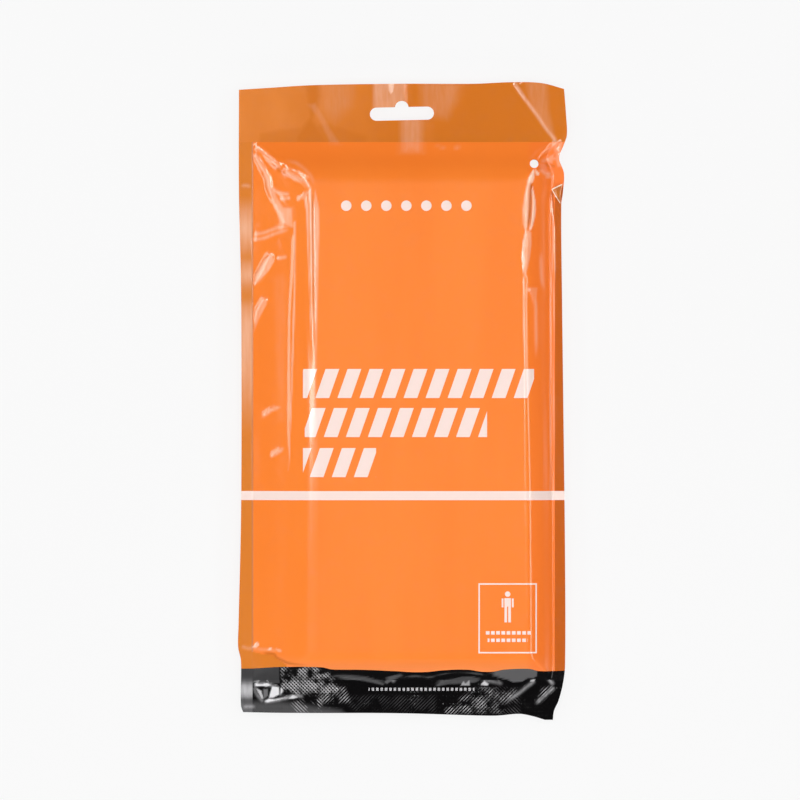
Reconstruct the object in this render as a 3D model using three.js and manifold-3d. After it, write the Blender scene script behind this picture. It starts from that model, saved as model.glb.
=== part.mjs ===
// A folded emergency sleeping bag in its sealed film pouch, lying on its back.
// Millimetres, +Z up. The header is at +Y and the crimped foot at -Y.

import * as THREE from 'three';
import { mergeVertices } from 'three/addons/utils/BufferGeometryUtils.js';
import Module from 'manifold-3d';

const wasm = await Module();
wasm.setup();

// Film sheets and the gap that touching pieces keep
const FILM = 1.0;
const GAP = 0.3;

// Pouch: where its zones begin and how high its welds lie
const HEADER_LINE = 129.5;
const FOOT_LINE = -139.5;
const SIDE_WELD = 6.0;
const WELD_HEIGHT = 8.5;
const CROWN = 0.6;

// Slack of the welds: how they droop past the bag and the soft waves along them
const HEADER_DROOP = 0.08;
const FOOT_DROOP = 0.12;
const HEADER_WAVES = [{ height: 0.5, length: 82, peak: -8 }];
const FOOT_WAVES = [{ height: 0.7, length: 41, peak: 3.5 }, { height: 0.4, length: 94, peak: 23.5 }];
const SIDE_WAVES = [{ height: 0.3, length: 113, peak: 28 }];
const WAVE_REACH = { header: 20, foot: 10, side: 10 };
const SIDE_WAVE_START = 70;

// Cut edges of the pouch, as rows down each side and across each end
const LEFT_EDGE = [
  { y: -160, x: -78.5 }, { y: -156, x: -79.6 }, { y: -152, x: -80.8 }, { y: -130, x: -80.8 },
  { y: -123, x: -82.2 }, { y: -112, x: -82.0 }, { y: -60, x: -80.8 }, { y: 0, x: -80.5 },
  { y: 60, x: -80.8 }, { y: 104, x: -81.8 }, { y: 160, x: -81.8 },
];
const RIGHT_EDGE = [
  { y: -160, x: 75.2 }, { y: -155, x: 75.8 }, { y: -150, x: 78.0 }, { y: -141, x: 80.3 },
  { y: -132, x: 81.3 }, { y: -80, x: 81.3 }, { y: 0, x: 80.4 }, { y: 50, x: 79.8 },
  { y: 98, x: 79.4 }, { y: 105, x: 80.3 }, { y: 114, x: 80.7 }, { y: 121.5, x: 78.3 },
  { y: 128, x: 80.6 }, { y: 133, x: 82.2 }, { y: 143, x: 81.8 }, { y: 160, x: 80.5 },
];
const TOP_EDGE = [
  { x: -82, y: 155.6 }, { x: -67, y: 156.6 }, { x: -45, y: 158.0 }, { x: 0, y: 158.7 },
  { x: 35, y: 158.7 }, { x: 55, y: 159.5 }, { x: 70, y: 159.0 }, { x: 82, y: 155.8 },
];
const BOTTOM_EDGE = [
  { x: -81, y: -155.6 }, { x: -60, y: -156.0 }, { x: 0, y: -156.2 }, { x: 45, y: -157.4 },
  { x: 60, y: -156.5 }, { x: 68, y: -157.6 }, { x: 76, y: -159.5 },
];

// How the film climbs from each weld to the top of the bag: the run inwards and the share risen
const LEFT_CLIMB = [
  { run: 0, share: 0 }, { run: 10, share: 0.3 }, { run: 20, share: 0.66 }, { run: 27, share: 0.92 },
  { run: 33, share: 1 },
];
const RIGHT_CLIMB = [
  { run: 0, share: 0 }, { run: 3, share: 0.16 }, { run: 8, share: 0.66 }, { run: 13, share: 0.94 },
  { run: 17, share: 1 },
];
const HEAD_CLIMB = [
  { run: 0, share: 0 }, { run: 6, share: 0.25 }, { run: 14, share: 0.72 }, { run: 20, share: 0.95 },
  { run: 25, share: 1 },
];
const FOOT_CLIMB = [
  { run: 0, share: 0 }, { run: 5, share: 0.42 }, { run: 10, share: 0.86 }, { run: 14, share: 1 },
];
const CORNER_BLEND = 0.12;
const STEEPEST_FILM = 1.5;

// Main folds of the front film: ridges and dimples along a route, each with its height and half width,
// which fade out within a few millimetres of the film's edges
const FOLD_FADE = { film: 3, header: 6, foot: 4 };
const FRONT_FOLDS = [
  { name: 'corner ridge', height: 1.0, width: 2.6, route: [[-75, 127], [-62, 118], [-46, 105.5]] },
  { name: 'outer ridge', height: 0.9, width: 2.6, route: [[-74, 123], [-67, 110], [-61, 88], [-55, 80.5]] },
  { name: 'inner shoulder', height: 0.8, width: 2.2, route: [[-46, 105.5], [-44.8, 50], [-43.2, 0]] },
  { name: 'outer shoulder', height: 0.7, width: 2.2, route: [[-55, 80.5], [-55.2, 10], [-57.2, -40]] },
  { name: 'cross ridge', height: 0.6, width: 2.2, route: [[-73.8, 81], [-64, 84], [-55.2, 86.5]] },
  { name: 'upper dimple rim', height: 0.6, width: 2.4, route: [[-74, 57], [-65, 72]] },
  { name: 'lower dimple rim', height: 0.5, width: 2.4, route: [[-74, 38], [-68, 52]] },
  { name: 'corner dimple', height: -1.6, width: 4.5, route: [[-63, 108], [-58.5, 97]] },
  { name: 'side dimple', height: -1.2, width: 4, route: [[-67, 78], [-61, 62]] },
  { name: 'vent fold', height: 1.0, width: 2.2, route: [[66.2, 113.5], [62.5, 95], [59.5, 62]] },
  { name: 'right shoulder', height: 0.6, width: 2.0, route: [[59.5, 62], [61, 0], [61.5, -40]] },
  { name: 'pinched edge', height: 0.7, width: 2.6, route: [[77, 121], [70.5, 119.5]] },
  { name: 'foot corner ridge', height: 0.7, width: 2.4, route: [[-74, -129], [-62, -132.5], [-50, -131]] },
];

// Creases of the two welded strips
const HEADER_FOLDS = [
  { name: 'corner crease', height: 0.7, width: 2.4, route: [[55.5, 158.5], [67, 144], [78, 130]] },
  { name: 'slot column', height: 0.8, width: 5.0, route: [[-6, 158], [-5, 146], [4, 130]] },
];
const FOOT_FOLDS = [
  { name: 'crumple', height: 1.1, width: 2.4, route: [[-74, -142], [-66, -144], [-56, -150]] },
  { name: 'low crumple', height: 0.8, width: 2.2, route: [[-70, -150.5], [-58, -148], [-46, -146.5]] },
  { name: 'middle sag', height: 0.8, width: 3.0, route: [[-30, -142], [-12, -146], [8, -145]] },
  { name: 'corner fold', height: 1.3, width: 2.4, route: [[72, -141], [62, -149], [54, -155]] },
  { name: 'outer corner fold', height: 1.0, width: 2.2, route: [[79, -142], [73, -150], [67, -156]] },
];

// Punched holes
const SLOT = { x: -0.3, y: 143.7, length: 32, width: 6.6, bumpRadius: 3.4, bumpLift: 3.1, tilt: 1.2 };
const VENT = { x: 65.8, y: 118.6, radius: 2.2 };
const PUNCH_DEPTH = 60;

// Folded bag: its layers from the back to the front and how far each fold reaches
const PLIES = 1.9;
const PLY_GAP = 0.4;
const BAG_FOLDS = [
  { end: 'foot', reach: -123, round: false },
  { end: 'head', reach: 106, round: true },
  { end: 'foot', reach: -129.5, round: true },
  { end: 'head', reach: 117, round: true },
  { end: 'foot', reach: -131.5, round: true },
  { end: 'head', reach: 111.5, round: true },
  { end: 'foot', reach: -126.6, round: true },
  { end: 'head', reach: 103, round: false },
];
const BAG_LAYERS = BAG_FOLDS.length - 1;
const BAG_STATIONS = [0, 0.12, 0.35, 0.65, 0.88, 1];
const RUN_STEPS = 7;
const TURN_STEPS = 7;
const BAG_SIDES = { left: -54, right: 67, leftTuck: 12.2, rightTuck: 10.8 };
const BAG_CORNER = { reach: 14, tuck: 5 };
const BAG_BASE = FILM + GAP;
const BAG_THICKNESS = BAG_LAYERS * PLIES + (BAG_LAYERS - 1) * PLY_GAP;
const BAG_MIDDLE = { x: 6.5, y: -8, halfWidth: 60, halfLength: 125 };
const FRONT_INNER = BAG_BASE + BAG_THICKNESS + GAP;

// Grid lines of the sheets: each span ends at a place and has its own step
const FRONT_COLUMNS = { from: -81, spans: [
  { to: -75, step: 3 }, { to: -39, step: 3 }, { to: 53, step: 11.5 }, { to: 81, step: 2.8 },
] };
const FRONT_ROWS = { from: FOOT_LINE, spans: [
  { to: -121.5, step: 3 }, { to: 78.5, step: 8 }, { to: HEADER_LINE, step: 3.2 },
] };
const BACK_COLUMNS = { from: -81, spans: [
  { to: -75, step: 6 }, { to: -39, step: 4.5 }, { to: 55, step: 23.5 }, { to: 81, step: 3.3 },
] };
const BACK_ROWS = { from: FOOT_LINE, spans: [
  { to: -121.5, step: 3 }, { to: 78.5, step: 16 }, { to: HEADER_LINE, step: 4.3 },
] };
const STRIP_COLUMNS = { from: -81, spans: [{ to: 81, step: 4.5 }] };
const HEADER_BANDS = 7;
const FOOT_BANDS = 6;
const NOMINAL_EDGE = 81;
const EDGE_BLEND = 30;

// Finishes
const ORANGE_FILM = { color: '#fe8a42', roughness: 0.25 };
const WELDED_FILM = { color: '#dc7a28', roughness: 0.3 };
const BLACK_FILM = { color: '#2c2a2a', roughness: 0.3 };
const BAG_SHEET = { color: '#f47a1e', roughness: 0.45 };

const clamp = (value, low, high) => Math.min(high, Math.max(low, value));

// A smooth curve through a table's rows, read at one place
function along(rows, at, value, place) {
  const last = rows.length - 1;
  if (place <= rows[0][at]) return rows[0][value];
  if (place >= rows[last][at]) return rows[last][value];
  const slope = (index) => {
    const before = rows[Math.max(index - 1, 0)];
    const after = rows[Math.min(index + 1, last)];
    return (after[value] - before[value]) / (after[at] - before[at]);
  };
  let index = 0;
  while (rows[index + 1][at] < place) index += 1;
  const low = rows[index];
  const high = rows[index + 1];
  const span = high[at] - low[at];
  const t = (place - low[at]) / span;
  const bend = t * t * (3 - 2 * t);
  return low[value] * (1 - bend) + high[value] * bend
    + span * (slope(index) * t * (1 - t) * (1 - t) - slope(index + 1) * t * t * (1 - t));
}

const leftEdge = (y) => along(LEFT_EDGE, 'y', 'x', y);
const rightEdge = (y) => along(RIGHT_EDGE, 'y', 'x', y);

function waveHeight(waves, place) {
  return waves.reduce(
    (sum, { height, length, peak }) => sum + height * Math.cos(2 * Math.PI * (place - peak) / length),
    0,
  );
}

// Height of the welds, which droop and ripple towards the two ends of the pouch
function weldHeight(x, y) {
  const head = Math.max(0, y - HEADER_LINE);
  const foot = Math.max(0, FOOT_LINE - y);
  return WELD_HEIGHT - HEADER_DROOP * head - FOOT_DROOP * foot
    + waveHeight(HEADER_WAVES, x) * clamp(head / WAVE_REACH.header, 0, 1)
    + waveHeight(FOOT_WAVES, x) * clamp(foot / WAVE_REACH.foot, 0, 1)
    + waveHeight(SIDE_WAVES, y) * clamp((Math.abs(x) - SIDE_WAVE_START) / WAVE_REACH.side, 0, 1);
}

// Distance in plan from a point to a route
function distanceTo(route, x, y) {
  let nearest = Infinity;
  for (let index = 1; index < route.length; index += 1) {
    const [startX, startY] = route[index - 1];
    const runX = route[index][0] - startX;
    const runY = route[index][1] - startY;
    const t = clamp(((x - startX) * runX + (y - startY) * runY) / (runX * runX + runY * runY), 0, 1);
    nearest = Math.min(nearest, Math.hypot(x - startX - t * runX, y - startY - t * runY));
  }
  return nearest;
}

function foldHeight(folds, x, y) {
  let height = 0;
  for (const fold of folds) {
    const away = distanceTo(fold.route, x, y) / fold.width;
    height += fold.height * Math.exp(-away * away);
  }
  return height;
}

// How far the film has climbed over the bag, from 0 at a weld to 1 on top
function climb(x, y) {
  const side = Math.min(
    along(LEFT_CLIMB, 'run', 'share', x - leftEdge(y) - SIDE_WELD),
    along(RIGHT_CLIMB, 'run', 'share', rightEdge(y) - SIDE_WELD - x),
  );
  const end = Math.min(
    along(HEAD_CLIMB, 'run', 'share', HEADER_LINE - y),
    along(FOOT_CLIMB, 'run', 'share', y - FOOT_LINE),
  );
  const blend = Math.max(CORNER_BLEND - Math.abs(side - end), 0) / CORNER_BLEND;
  const corner = Math.min(side, end) - blend * blend * CORNER_BLEND / 4;
  return clamp(corner / (1 - CORNER_BLEND / 4), 0, 1);
}

function crown(x, y) {
  const across = (x - BAG_MIDDLE.x) / BAG_MIDDLE.halfWidth;
  const down = (y - BAG_MIDDLE.y) / BAG_MIDDLE.halfLength;
  return CROWN * Math.max(0, 1 - across * across) * Math.max(0, 1 - down * down);
}

// Inner side of the front film, which lies over the bag
function frontInner(x, y) {
  const share = climb(x, y);
  const inside = Math.min(x - leftEdge(y), rightEdge(y) - x, HEADER_LINE - y, y - FOOT_LINE);
  return (weldHeight(x, y) + GAP / 2) * (1 - share) + FRONT_INNER * share + crown(x, y)
    + foldHeight(FRONT_FOLDS, x, y) * clamp(inside / FOLD_FADE.film, 0, 1);
}

// Inner side of the back film, which lies under the bag
function backInner(x, y) {
  const share = climb(x, y);
  return (weldHeight(x, y) - GAP / 2) * (1 - share) + FILM * share;
}

// Height of a sheet measured straight up where it slopes
function slopedFilm(surface, x, y) {
  const step = 0.5;
  const slopeX = (surface(x + step, y) - surface(x - step, y)) / (2 * step);
  const slopeY = (surface(x, y + step) - surface(x, y - step)) / (2 * step);
  return FILM * Math.min(STEEPEST_FILM, Math.sqrt(1 + slopeX * slopeX + slopeY * slopeY));
}

const frontOuter = (x, y) => frontInner(x, y) + slopedFilm(frontInner, x, y);
const backOuter = (x, y) => Math.max(0, backInner(x, y) - slopedFilm(backInner, x, y));

function gridLines({ from, spans }) {
  const lines = [from];
  let start = from;
  for (const { to, step } of spans) {
    const count = Math.max(1, Math.round((to - start) / step));
    for (let index = 1; index <= count; index += 1) lines.push(start + (to - start) * index / count);
    start = to;
  }
  return lines;
}

// A nominal column moved out to the cut edges
function placeAcross(column, y) {
  const left = clamp(1 - (column + NOMINAL_EDGE) / EDGE_BLEND, 0, 1);
  const right = clamp(1 - (NOMINAL_EDGE - column) / EDGE_BLEND, 0, 1);
  return column + left * (leftEdge(y) + NOMINAL_EDGE) + right * (rightEdge(y) - NOMINAL_EDGE);
}

// A closed body between a low and a high surface over a grid of places
function bodyBetween(places, low, high) {
  const rows = places.length;
  const columns = places[0].length;
  const positions = [];
  const triangles = [];
  for (const surface of [low, high]) {
    for (const row of places) for (const [x, y] of row) positions.push(x, y, surface(x, y));
  }
  const under = (row, column) => row * columns + column;
  const over = (row, column) => rows * columns + under(row, column);
  const quad = (a, b, c, d) => triangles.push(a, b, c, a, c, d);
  const top = rows - 1;
  const right = columns - 1;
  for (let row = 0; row < top; row += 1) {
    for (let column = 0; column < right; column += 1) {
      quad(over(row, column), over(row, column + 1), over(row + 1, column + 1), over(row + 1, column));
      quad(under(row, column), under(row + 1, column), under(row + 1, column + 1), under(row, column + 1));
    }
  }
  for (let column = 0; column < right; column += 1) {
    quad(under(0, column), under(0, column + 1), over(0, column + 1), over(0, column));
    quad(under(top, column + 1), under(top, column), over(top, column), over(top, column + 1));
  }
  for (let row = 0; row < top; row += 1) {
    quad(under(row + 1, 0), under(row, 0), over(row, 0), over(row + 1, 0));
    quad(under(row, right), under(row + 1, right), over(row + 1, right), over(row, right));
  }
  return closedGeometry(positions, triangles);
}

function closedGeometry(positions, triangles) {
  const geometry = new THREE.BufferGeometry();
  geometry.setAttribute('position', new THREE.Float32BufferAttribute(positions, 3));
  geometry.setIndex(triangles);
  return geometry;
}

// Geometry to a solid and back, so that holes can be punched
function toSolid(geometry) {
  const bare = geometry.clone();
  bare.deleteAttribute('normal');
  bare.deleteAttribute('uv');
  const merged = mergeVertices(bare, 1e-4);
  return new wasm.Manifold(new wasm.Mesh({
    numProp: 3,
    vertProperties: new Float32Array(merged.attributes.position.array),
    triVerts: new Uint32Array(merged.index.array),
  }));
}

function punch(geometry, ...tools) {
  let solid = toSolid(geometry);
  for (const tool of tools) solid = solid.subtract(toSolid(tool));
  const mesh = solid.getMesh();
  return closedGeometry(Array.from(mesh.vertProperties), Array.from(mesh.triVerts));
}

// Hang slot: a bar with round ends and a round bump in the middle of its upper side
function slotPunch() {
  const end = SLOT.width / 2;
  const straight = SLOT.length / 2 - end;
  const bumpCentre = end + SLOT.bumpLift - SLOT.bumpRadius;
  const start = Math.asin((end - bumpCentre) / SLOT.bumpRadius);
  const shape = new THREE.Shape();
  shape.moveTo(-straight, -end);
  shape.lineTo(straight, -end);
  shape.absarc(straight, 0, end, -Math.PI / 2, Math.PI / 2, false);
  shape.absarc(0, bumpCentre, SLOT.bumpRadius, start, Math.PI - start, false);
  shape.absarc(-straight, 0, end, Math.PI / 2, Math.PI * 1.5, false);
  const geometry = new THREE.ExtrudeGeometry(shape, {
    depth: PUNCH_DEPTH,
    bevelEnabled: false,
    curveSegments: 8,
  });
  geometry.translate(0, 0, -PUNCH_DEPTH / 2);
  geometry.rotateZ(THREE.MathUtils.degToRad(SLOT.tilt));
  geometry.translate(SLOT.x, SLOT.y, 0);
  return geometry;
}

function ventPunch() {
  const geometry = new THREE.CylinderGeometry(VENT.radius, VENT.radius, PUNCH_DEPTH, 16);
  geometry.rotateX(Math.PI / 2);
  geometry.translate(VENT.x, VENT.y, 0);
  return geometry;
}

// A sheet's places: straight rows from the foot line to the header line
function sheetPlaces(columns, rows) {
  const trim = GAP / 2;
  return gridLines(rows).map((line) => {
    const y = clamp(line, FOOT_LINE + trim, HEADER_LINE - trim);
    return gridLines(columns).map((column) => [placeAcross(column, y), y]);
  });
}

// A welded strip's places: rows from the sheets' line out to the cut edge
function stripPlaces(line, edge, bands) {
  const outwards = Math.sign(line);
  const start = line + outwards * GAP / 2;
  const rows = [];
  for (let band = 0; band <= bands; band += 1) {
    rows.push(gridLines(STRIP_COLUMNS).map((column) => {
      const y = start + (edge(column) - start) * band / bands;
      return [placeAcross(column, y), y];
    }));
  }
  return outwards > 0 ? rows : rows.reverse();
}

// Both films welded into one strip about a middle height
function weldedStrip(places, middle) {
  const half = FILM + GAP / 2;
  return bodyBetween(places, (x, y) => middle(x, y) - half, (x, y) => middle(x, y) + half);
}

function header() {
  const places = stripPlaces(HEADER_LINE, (x) => along(TOP_EDGE, 'x', 'y', x), HEADER_BANDS);
  const middle = (x, y) => weldHeight(x, y)
    + foldHeight(HEADER_FOLDS, x, y) * clamp((y - HEADER_LINE) / FOLD_FADE.header, 0, 1);
  return punch(weldedStrip(places, middle), slotPunch());
}

function footSeal() {
  const places = stripPlaces(FOOT_LINE, (x) => along(BOTTOM_EDGE, 'x', 'y', x), FOOT_BANDS);
  const middle = (x, y) => weldHeight(x, y)
    + foldHeight(FOOT_FOLDS, x, y) * clamp((FOOT_LINE - y) / FOLD_FADE.foot, 0, 1);
  return weldedStrip(places, middle);
}

function frontFilm() {
  return punch(bodyBetween(sheetPlaces(FRONT_COLUMNS, FRONT_ROWS), frontInner, frontOuter), ventPunch());
}

function backFilm() {
  return punch(bodyBetween(sheetPlaces(BACK_COLUMNS, BACK_ROWS), backOuter, backInner), ventPunch());
}

// The bag's middle line in the YZ plane: along each layer and round each fold
function bagMiddleLine() {
  const pitch = PLIES + PLY_GAP;
  const radius = pitch / 2;
  const points = [];
  for (let layer = 0; layer < BAG_LAYERS; layer += 1) {
    const z = BAG_BASE + PLIES / 2 + layer * pitch;
    const ahead = layer % 2 === 0 ? 1 : -1;
    const inset = (fold) => (fold.round ? radius + PLIES / 2 : 0);
    const start = BAG_FOLDS[layer].reach + ahead * inset(BAG_FOLDS[layer]);
    const end = BAG_FOLDS[layer + 1].reach - ahead * inset(BAG_FOLDS[layer + 1]);
    for (let step = 0; step <= RUN_STEPS; step += 1) {
      const share = (1 - Math.cos(Math.PI * step / RUN_STEPS)) / 2;
      points.push({ y: start + (end - start) * share, z, alongY: ahead, alongZ: 0 });
    }
    if (layer + 1 === BAG_LAYERS) break;
    for (let step = 1; step < TURN_STEPS; step += 1) {
      const turn = Math.PI * step / TURN_STEPS;
      points.push({
        y: end + ahead * radius * Math.sin(turn),
        z: z + radius * (1 - Math.cos(turn)),
        alongY: ahead * Math.cos(turn),
        alongZ: Math.sin(turn),
      });
    }
  }
  return points;
}

// The folded bag: its section carried across, tucked in at the sides and crowned with the film
function foldedBag() {
  const middle = bagMiddleLine();
  const offset = (side) => middle.map(({ y, z, alongY, alongZ }) => new THREE.Vector2(
    y - side * alongZ * PLIES / 2,
    z + side * alongY * PLIES / 2,
  ));
  const section = [...offset(-1), ...offset(1).reverse()];
  const headEnd = Math.max(...section.map((point) => point.x));
  const footEnd = Math.min(...section.map((point) => point.x));
  const positions = [];
  for (const station of BAG_STATIONS) {
    for (const { x: y, y: z } of section) {
      const fromMiddle = Math.abs(z - BAG_BASE - BAG_THICKNESS / 2) / (BAG_THICKNESS / 2);
      const nearEnd = clamp(1 - Math.min(headEnd - y, y - footEnd) / BAG_CORNER.reach, 0, 1);
      const corner = BAG_CORNER.tuck * nearEnd * nearEnd;
      const left = BAG_SIDES.left + BAG_SIDES.leftTuck * fromMiddle ** 2 + corner;
      const right = BAG_SIDES.right - BAG_SIDES.rightTuck * fromMiddle ** 2 - corner;
      const x = left + (right - left) * station;
      const lift = crown(x, y) * clamp((z - BAG_BASE) / BAG_THICKNESS, 0, 1);
      positions.push(x, y, z + lift);
    }
  }
  const count = section.length;
  const triangles = [];
  for (let station = 1; station < BAG_STATIONS.length; station += 1) {
    for (let index = 0; index < count; index += 1) {
      const next = (index + 1) % count;
      const near = (station - 1) * count;
      const far = station * count;
      triangles.push(near + index, near + next, far + next, near + index, far + next, far + index);
    }
  }
  const lastStation = (BAG_STATIONS.length - 1) * count;
  for (const [a, b, c] of THREE.ShapeUtils.triangulateShape(section, [])) {
    triangles.push(a, c, b, lastStation + a, lastStation + b, lastStation + c);
  }
  return closedGeometry(positions, triangles);
}

function piece(name, geometry, { color, roughness }) {
  const material = new THREE.MeshStandardMaterial({ color, roughness, metalness: 0 });
  const mesh = new THREE.Mesh(geometry, material);
  mesh.name = name;
  return mesh;
}

const pouch = new THREE.Group();
pouch.add(
  piece('header', header(), WELDED_FILM),
  piece('front_film', frontFilm(), ORANGE_FILM),
  piece('back_film', backFilm(), WELDED_FILM),
  piece('foot_seal', footSeal(), BLACK_FILM),
  piece('folded_bag', foldedBag(), BAG_SHEET),
);

export default pouch;
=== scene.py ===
"""A folded emergency sleeping bag sealed in a glossy film pouch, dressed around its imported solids.

Laid out as a Blender add-on: one operator makes each piece, and main() runs them in order.
Tables hold millimetres in the pouch's own frame: +X to the right, +Y to the header, +Z up.
"""

import math
from collections import namedtuple

import bmesh
import bpy
import numpy as np
from bpy.props import FloatProperty, FloatVectorProperty, PointerProperty
from mathutils import Euler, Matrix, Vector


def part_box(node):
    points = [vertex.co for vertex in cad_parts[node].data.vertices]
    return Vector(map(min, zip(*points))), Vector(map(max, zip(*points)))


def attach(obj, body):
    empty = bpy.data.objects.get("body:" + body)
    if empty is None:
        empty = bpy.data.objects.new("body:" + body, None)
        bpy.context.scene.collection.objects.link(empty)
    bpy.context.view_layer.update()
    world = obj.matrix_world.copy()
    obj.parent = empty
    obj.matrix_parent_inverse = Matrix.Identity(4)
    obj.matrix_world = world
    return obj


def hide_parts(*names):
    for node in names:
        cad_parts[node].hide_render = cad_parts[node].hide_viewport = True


bl_info = {
    "name": "Film Pouch with Folded Bag",
    "version": (1, 0, 0),
    "blender": (4, 5, 0),
    "location": "3D View > Sidebar > Pouch",
    "description": "Makes the sealed film pouch, its crimped foot and the folded bag inside it",
    "category": "Object",
}

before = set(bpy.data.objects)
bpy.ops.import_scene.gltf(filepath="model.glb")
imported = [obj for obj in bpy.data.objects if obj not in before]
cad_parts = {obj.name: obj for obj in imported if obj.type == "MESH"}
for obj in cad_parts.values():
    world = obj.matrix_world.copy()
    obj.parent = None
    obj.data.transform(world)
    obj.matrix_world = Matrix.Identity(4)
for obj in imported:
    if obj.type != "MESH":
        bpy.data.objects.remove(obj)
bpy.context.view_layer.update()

# Millimetres to metres
MM = 0.001

# Where the strips meet the two films, halfway across the solids' gap
film_low, film_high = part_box("front_film")
HEADER_LINE = (film_high[1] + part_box("header")[0][1]) / 2 / MM
FOOT_LINE = (film_low[1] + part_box("foot_seal")[1][1]) / 2 / MM

# The pouch's body, as its solids have it
SIDE_WELD = 6.0
LEFT_SEAM = -75.0
RIGHT_SEAM = 76.2
WELD_HEIGHT = 8.5
CROWN = 0.6
BAG_TOP = 18.3
HEADER_DROOP = 0.08
FOOT_DROOP = 0.12
SIDE_WAVE_START = 70
NOMINAL_EDGE = 81
EDGE_BLEND = 30
CORNER_BLEND = 0.12
STEEPEST_FILM = 2.0

# Soft waves along the welds: height, length and the place of a crest
Wave = namedtuple("Wave", "height length peak")
HEADER_WAVES = (Wave(0.5, 82, -8),)
FOOT_WAVES = (Wave(0.7, 41, 3.5), Wave(0.4, 94, 23.5))
SIDE_WAVES = (Wave(0.3, 113, 28),)
WAVE_REACH = {"header": 20, "foot": 10, "side": 10}

# Cut edges: (y, x) down each side and (x, y) across each end
LEFT_EDGE = (
    (-160, -78.5), (-156, -79.6), (-152, -80.8), (-130, -80.8), (-123, -82.2), (-112, -82.0),
    (-60, -80.8), (0, -80.5), (60, -80.8), (104, -81.8), (160, -81.8),
)
RIGHT_EDGE = (
    (-160, 75.2), (-155, 75.8), (-150, 78.0), (-141, 80.3), (-132, 81.3), (-80, 81.3), (0, 80.4),
    (50, 79.8), (98, 79.4), (105, 80.3), (114, 80.7), (121.5, 78.3), (128, 80.6), (133, 82.2),
    (143, 81.8), (160, 80.5),
)
TOP_EDGE = (
    (-82, 155.6), (-67, 156.6), (-45, 158.0), (0, 158.7), (35, 158.7), (55, 159.5), (70, 159.0),
    (82, 155.8),
)
BOTTOM_EDGE = (
    (-81, -155.6), (-60, -156.0), (0, -156.2), (45, -157.4), (60, -156.5), (68, -157.6), (76, -159.5),
)

# How the film climbs from each weld to the top of the bag: (run inwards, share risen)
LEFT_CLIMB = ((0, 0), (10, 0.33), (20, 0.68), (27, 0.9), (33, 1))
RIGHT_CLIMB = ((0, 0), (1.5, 0.12), (6, 0.55), (10.5, 0.86), (13.5, 0.98), (16, 1))
HEAD_CLIMB = ((0, 0), (6, 0.25), (14, 0.72), (20, 0.95), (25, 1))
FOOT_CLIMB = ((0, 0), (5, 0.42), (10, 0.86), (14, 1))
BAG_MIDDLE = {"x": 6.5, "y": -8, "half_width": 60, "half_length": 125}

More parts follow.
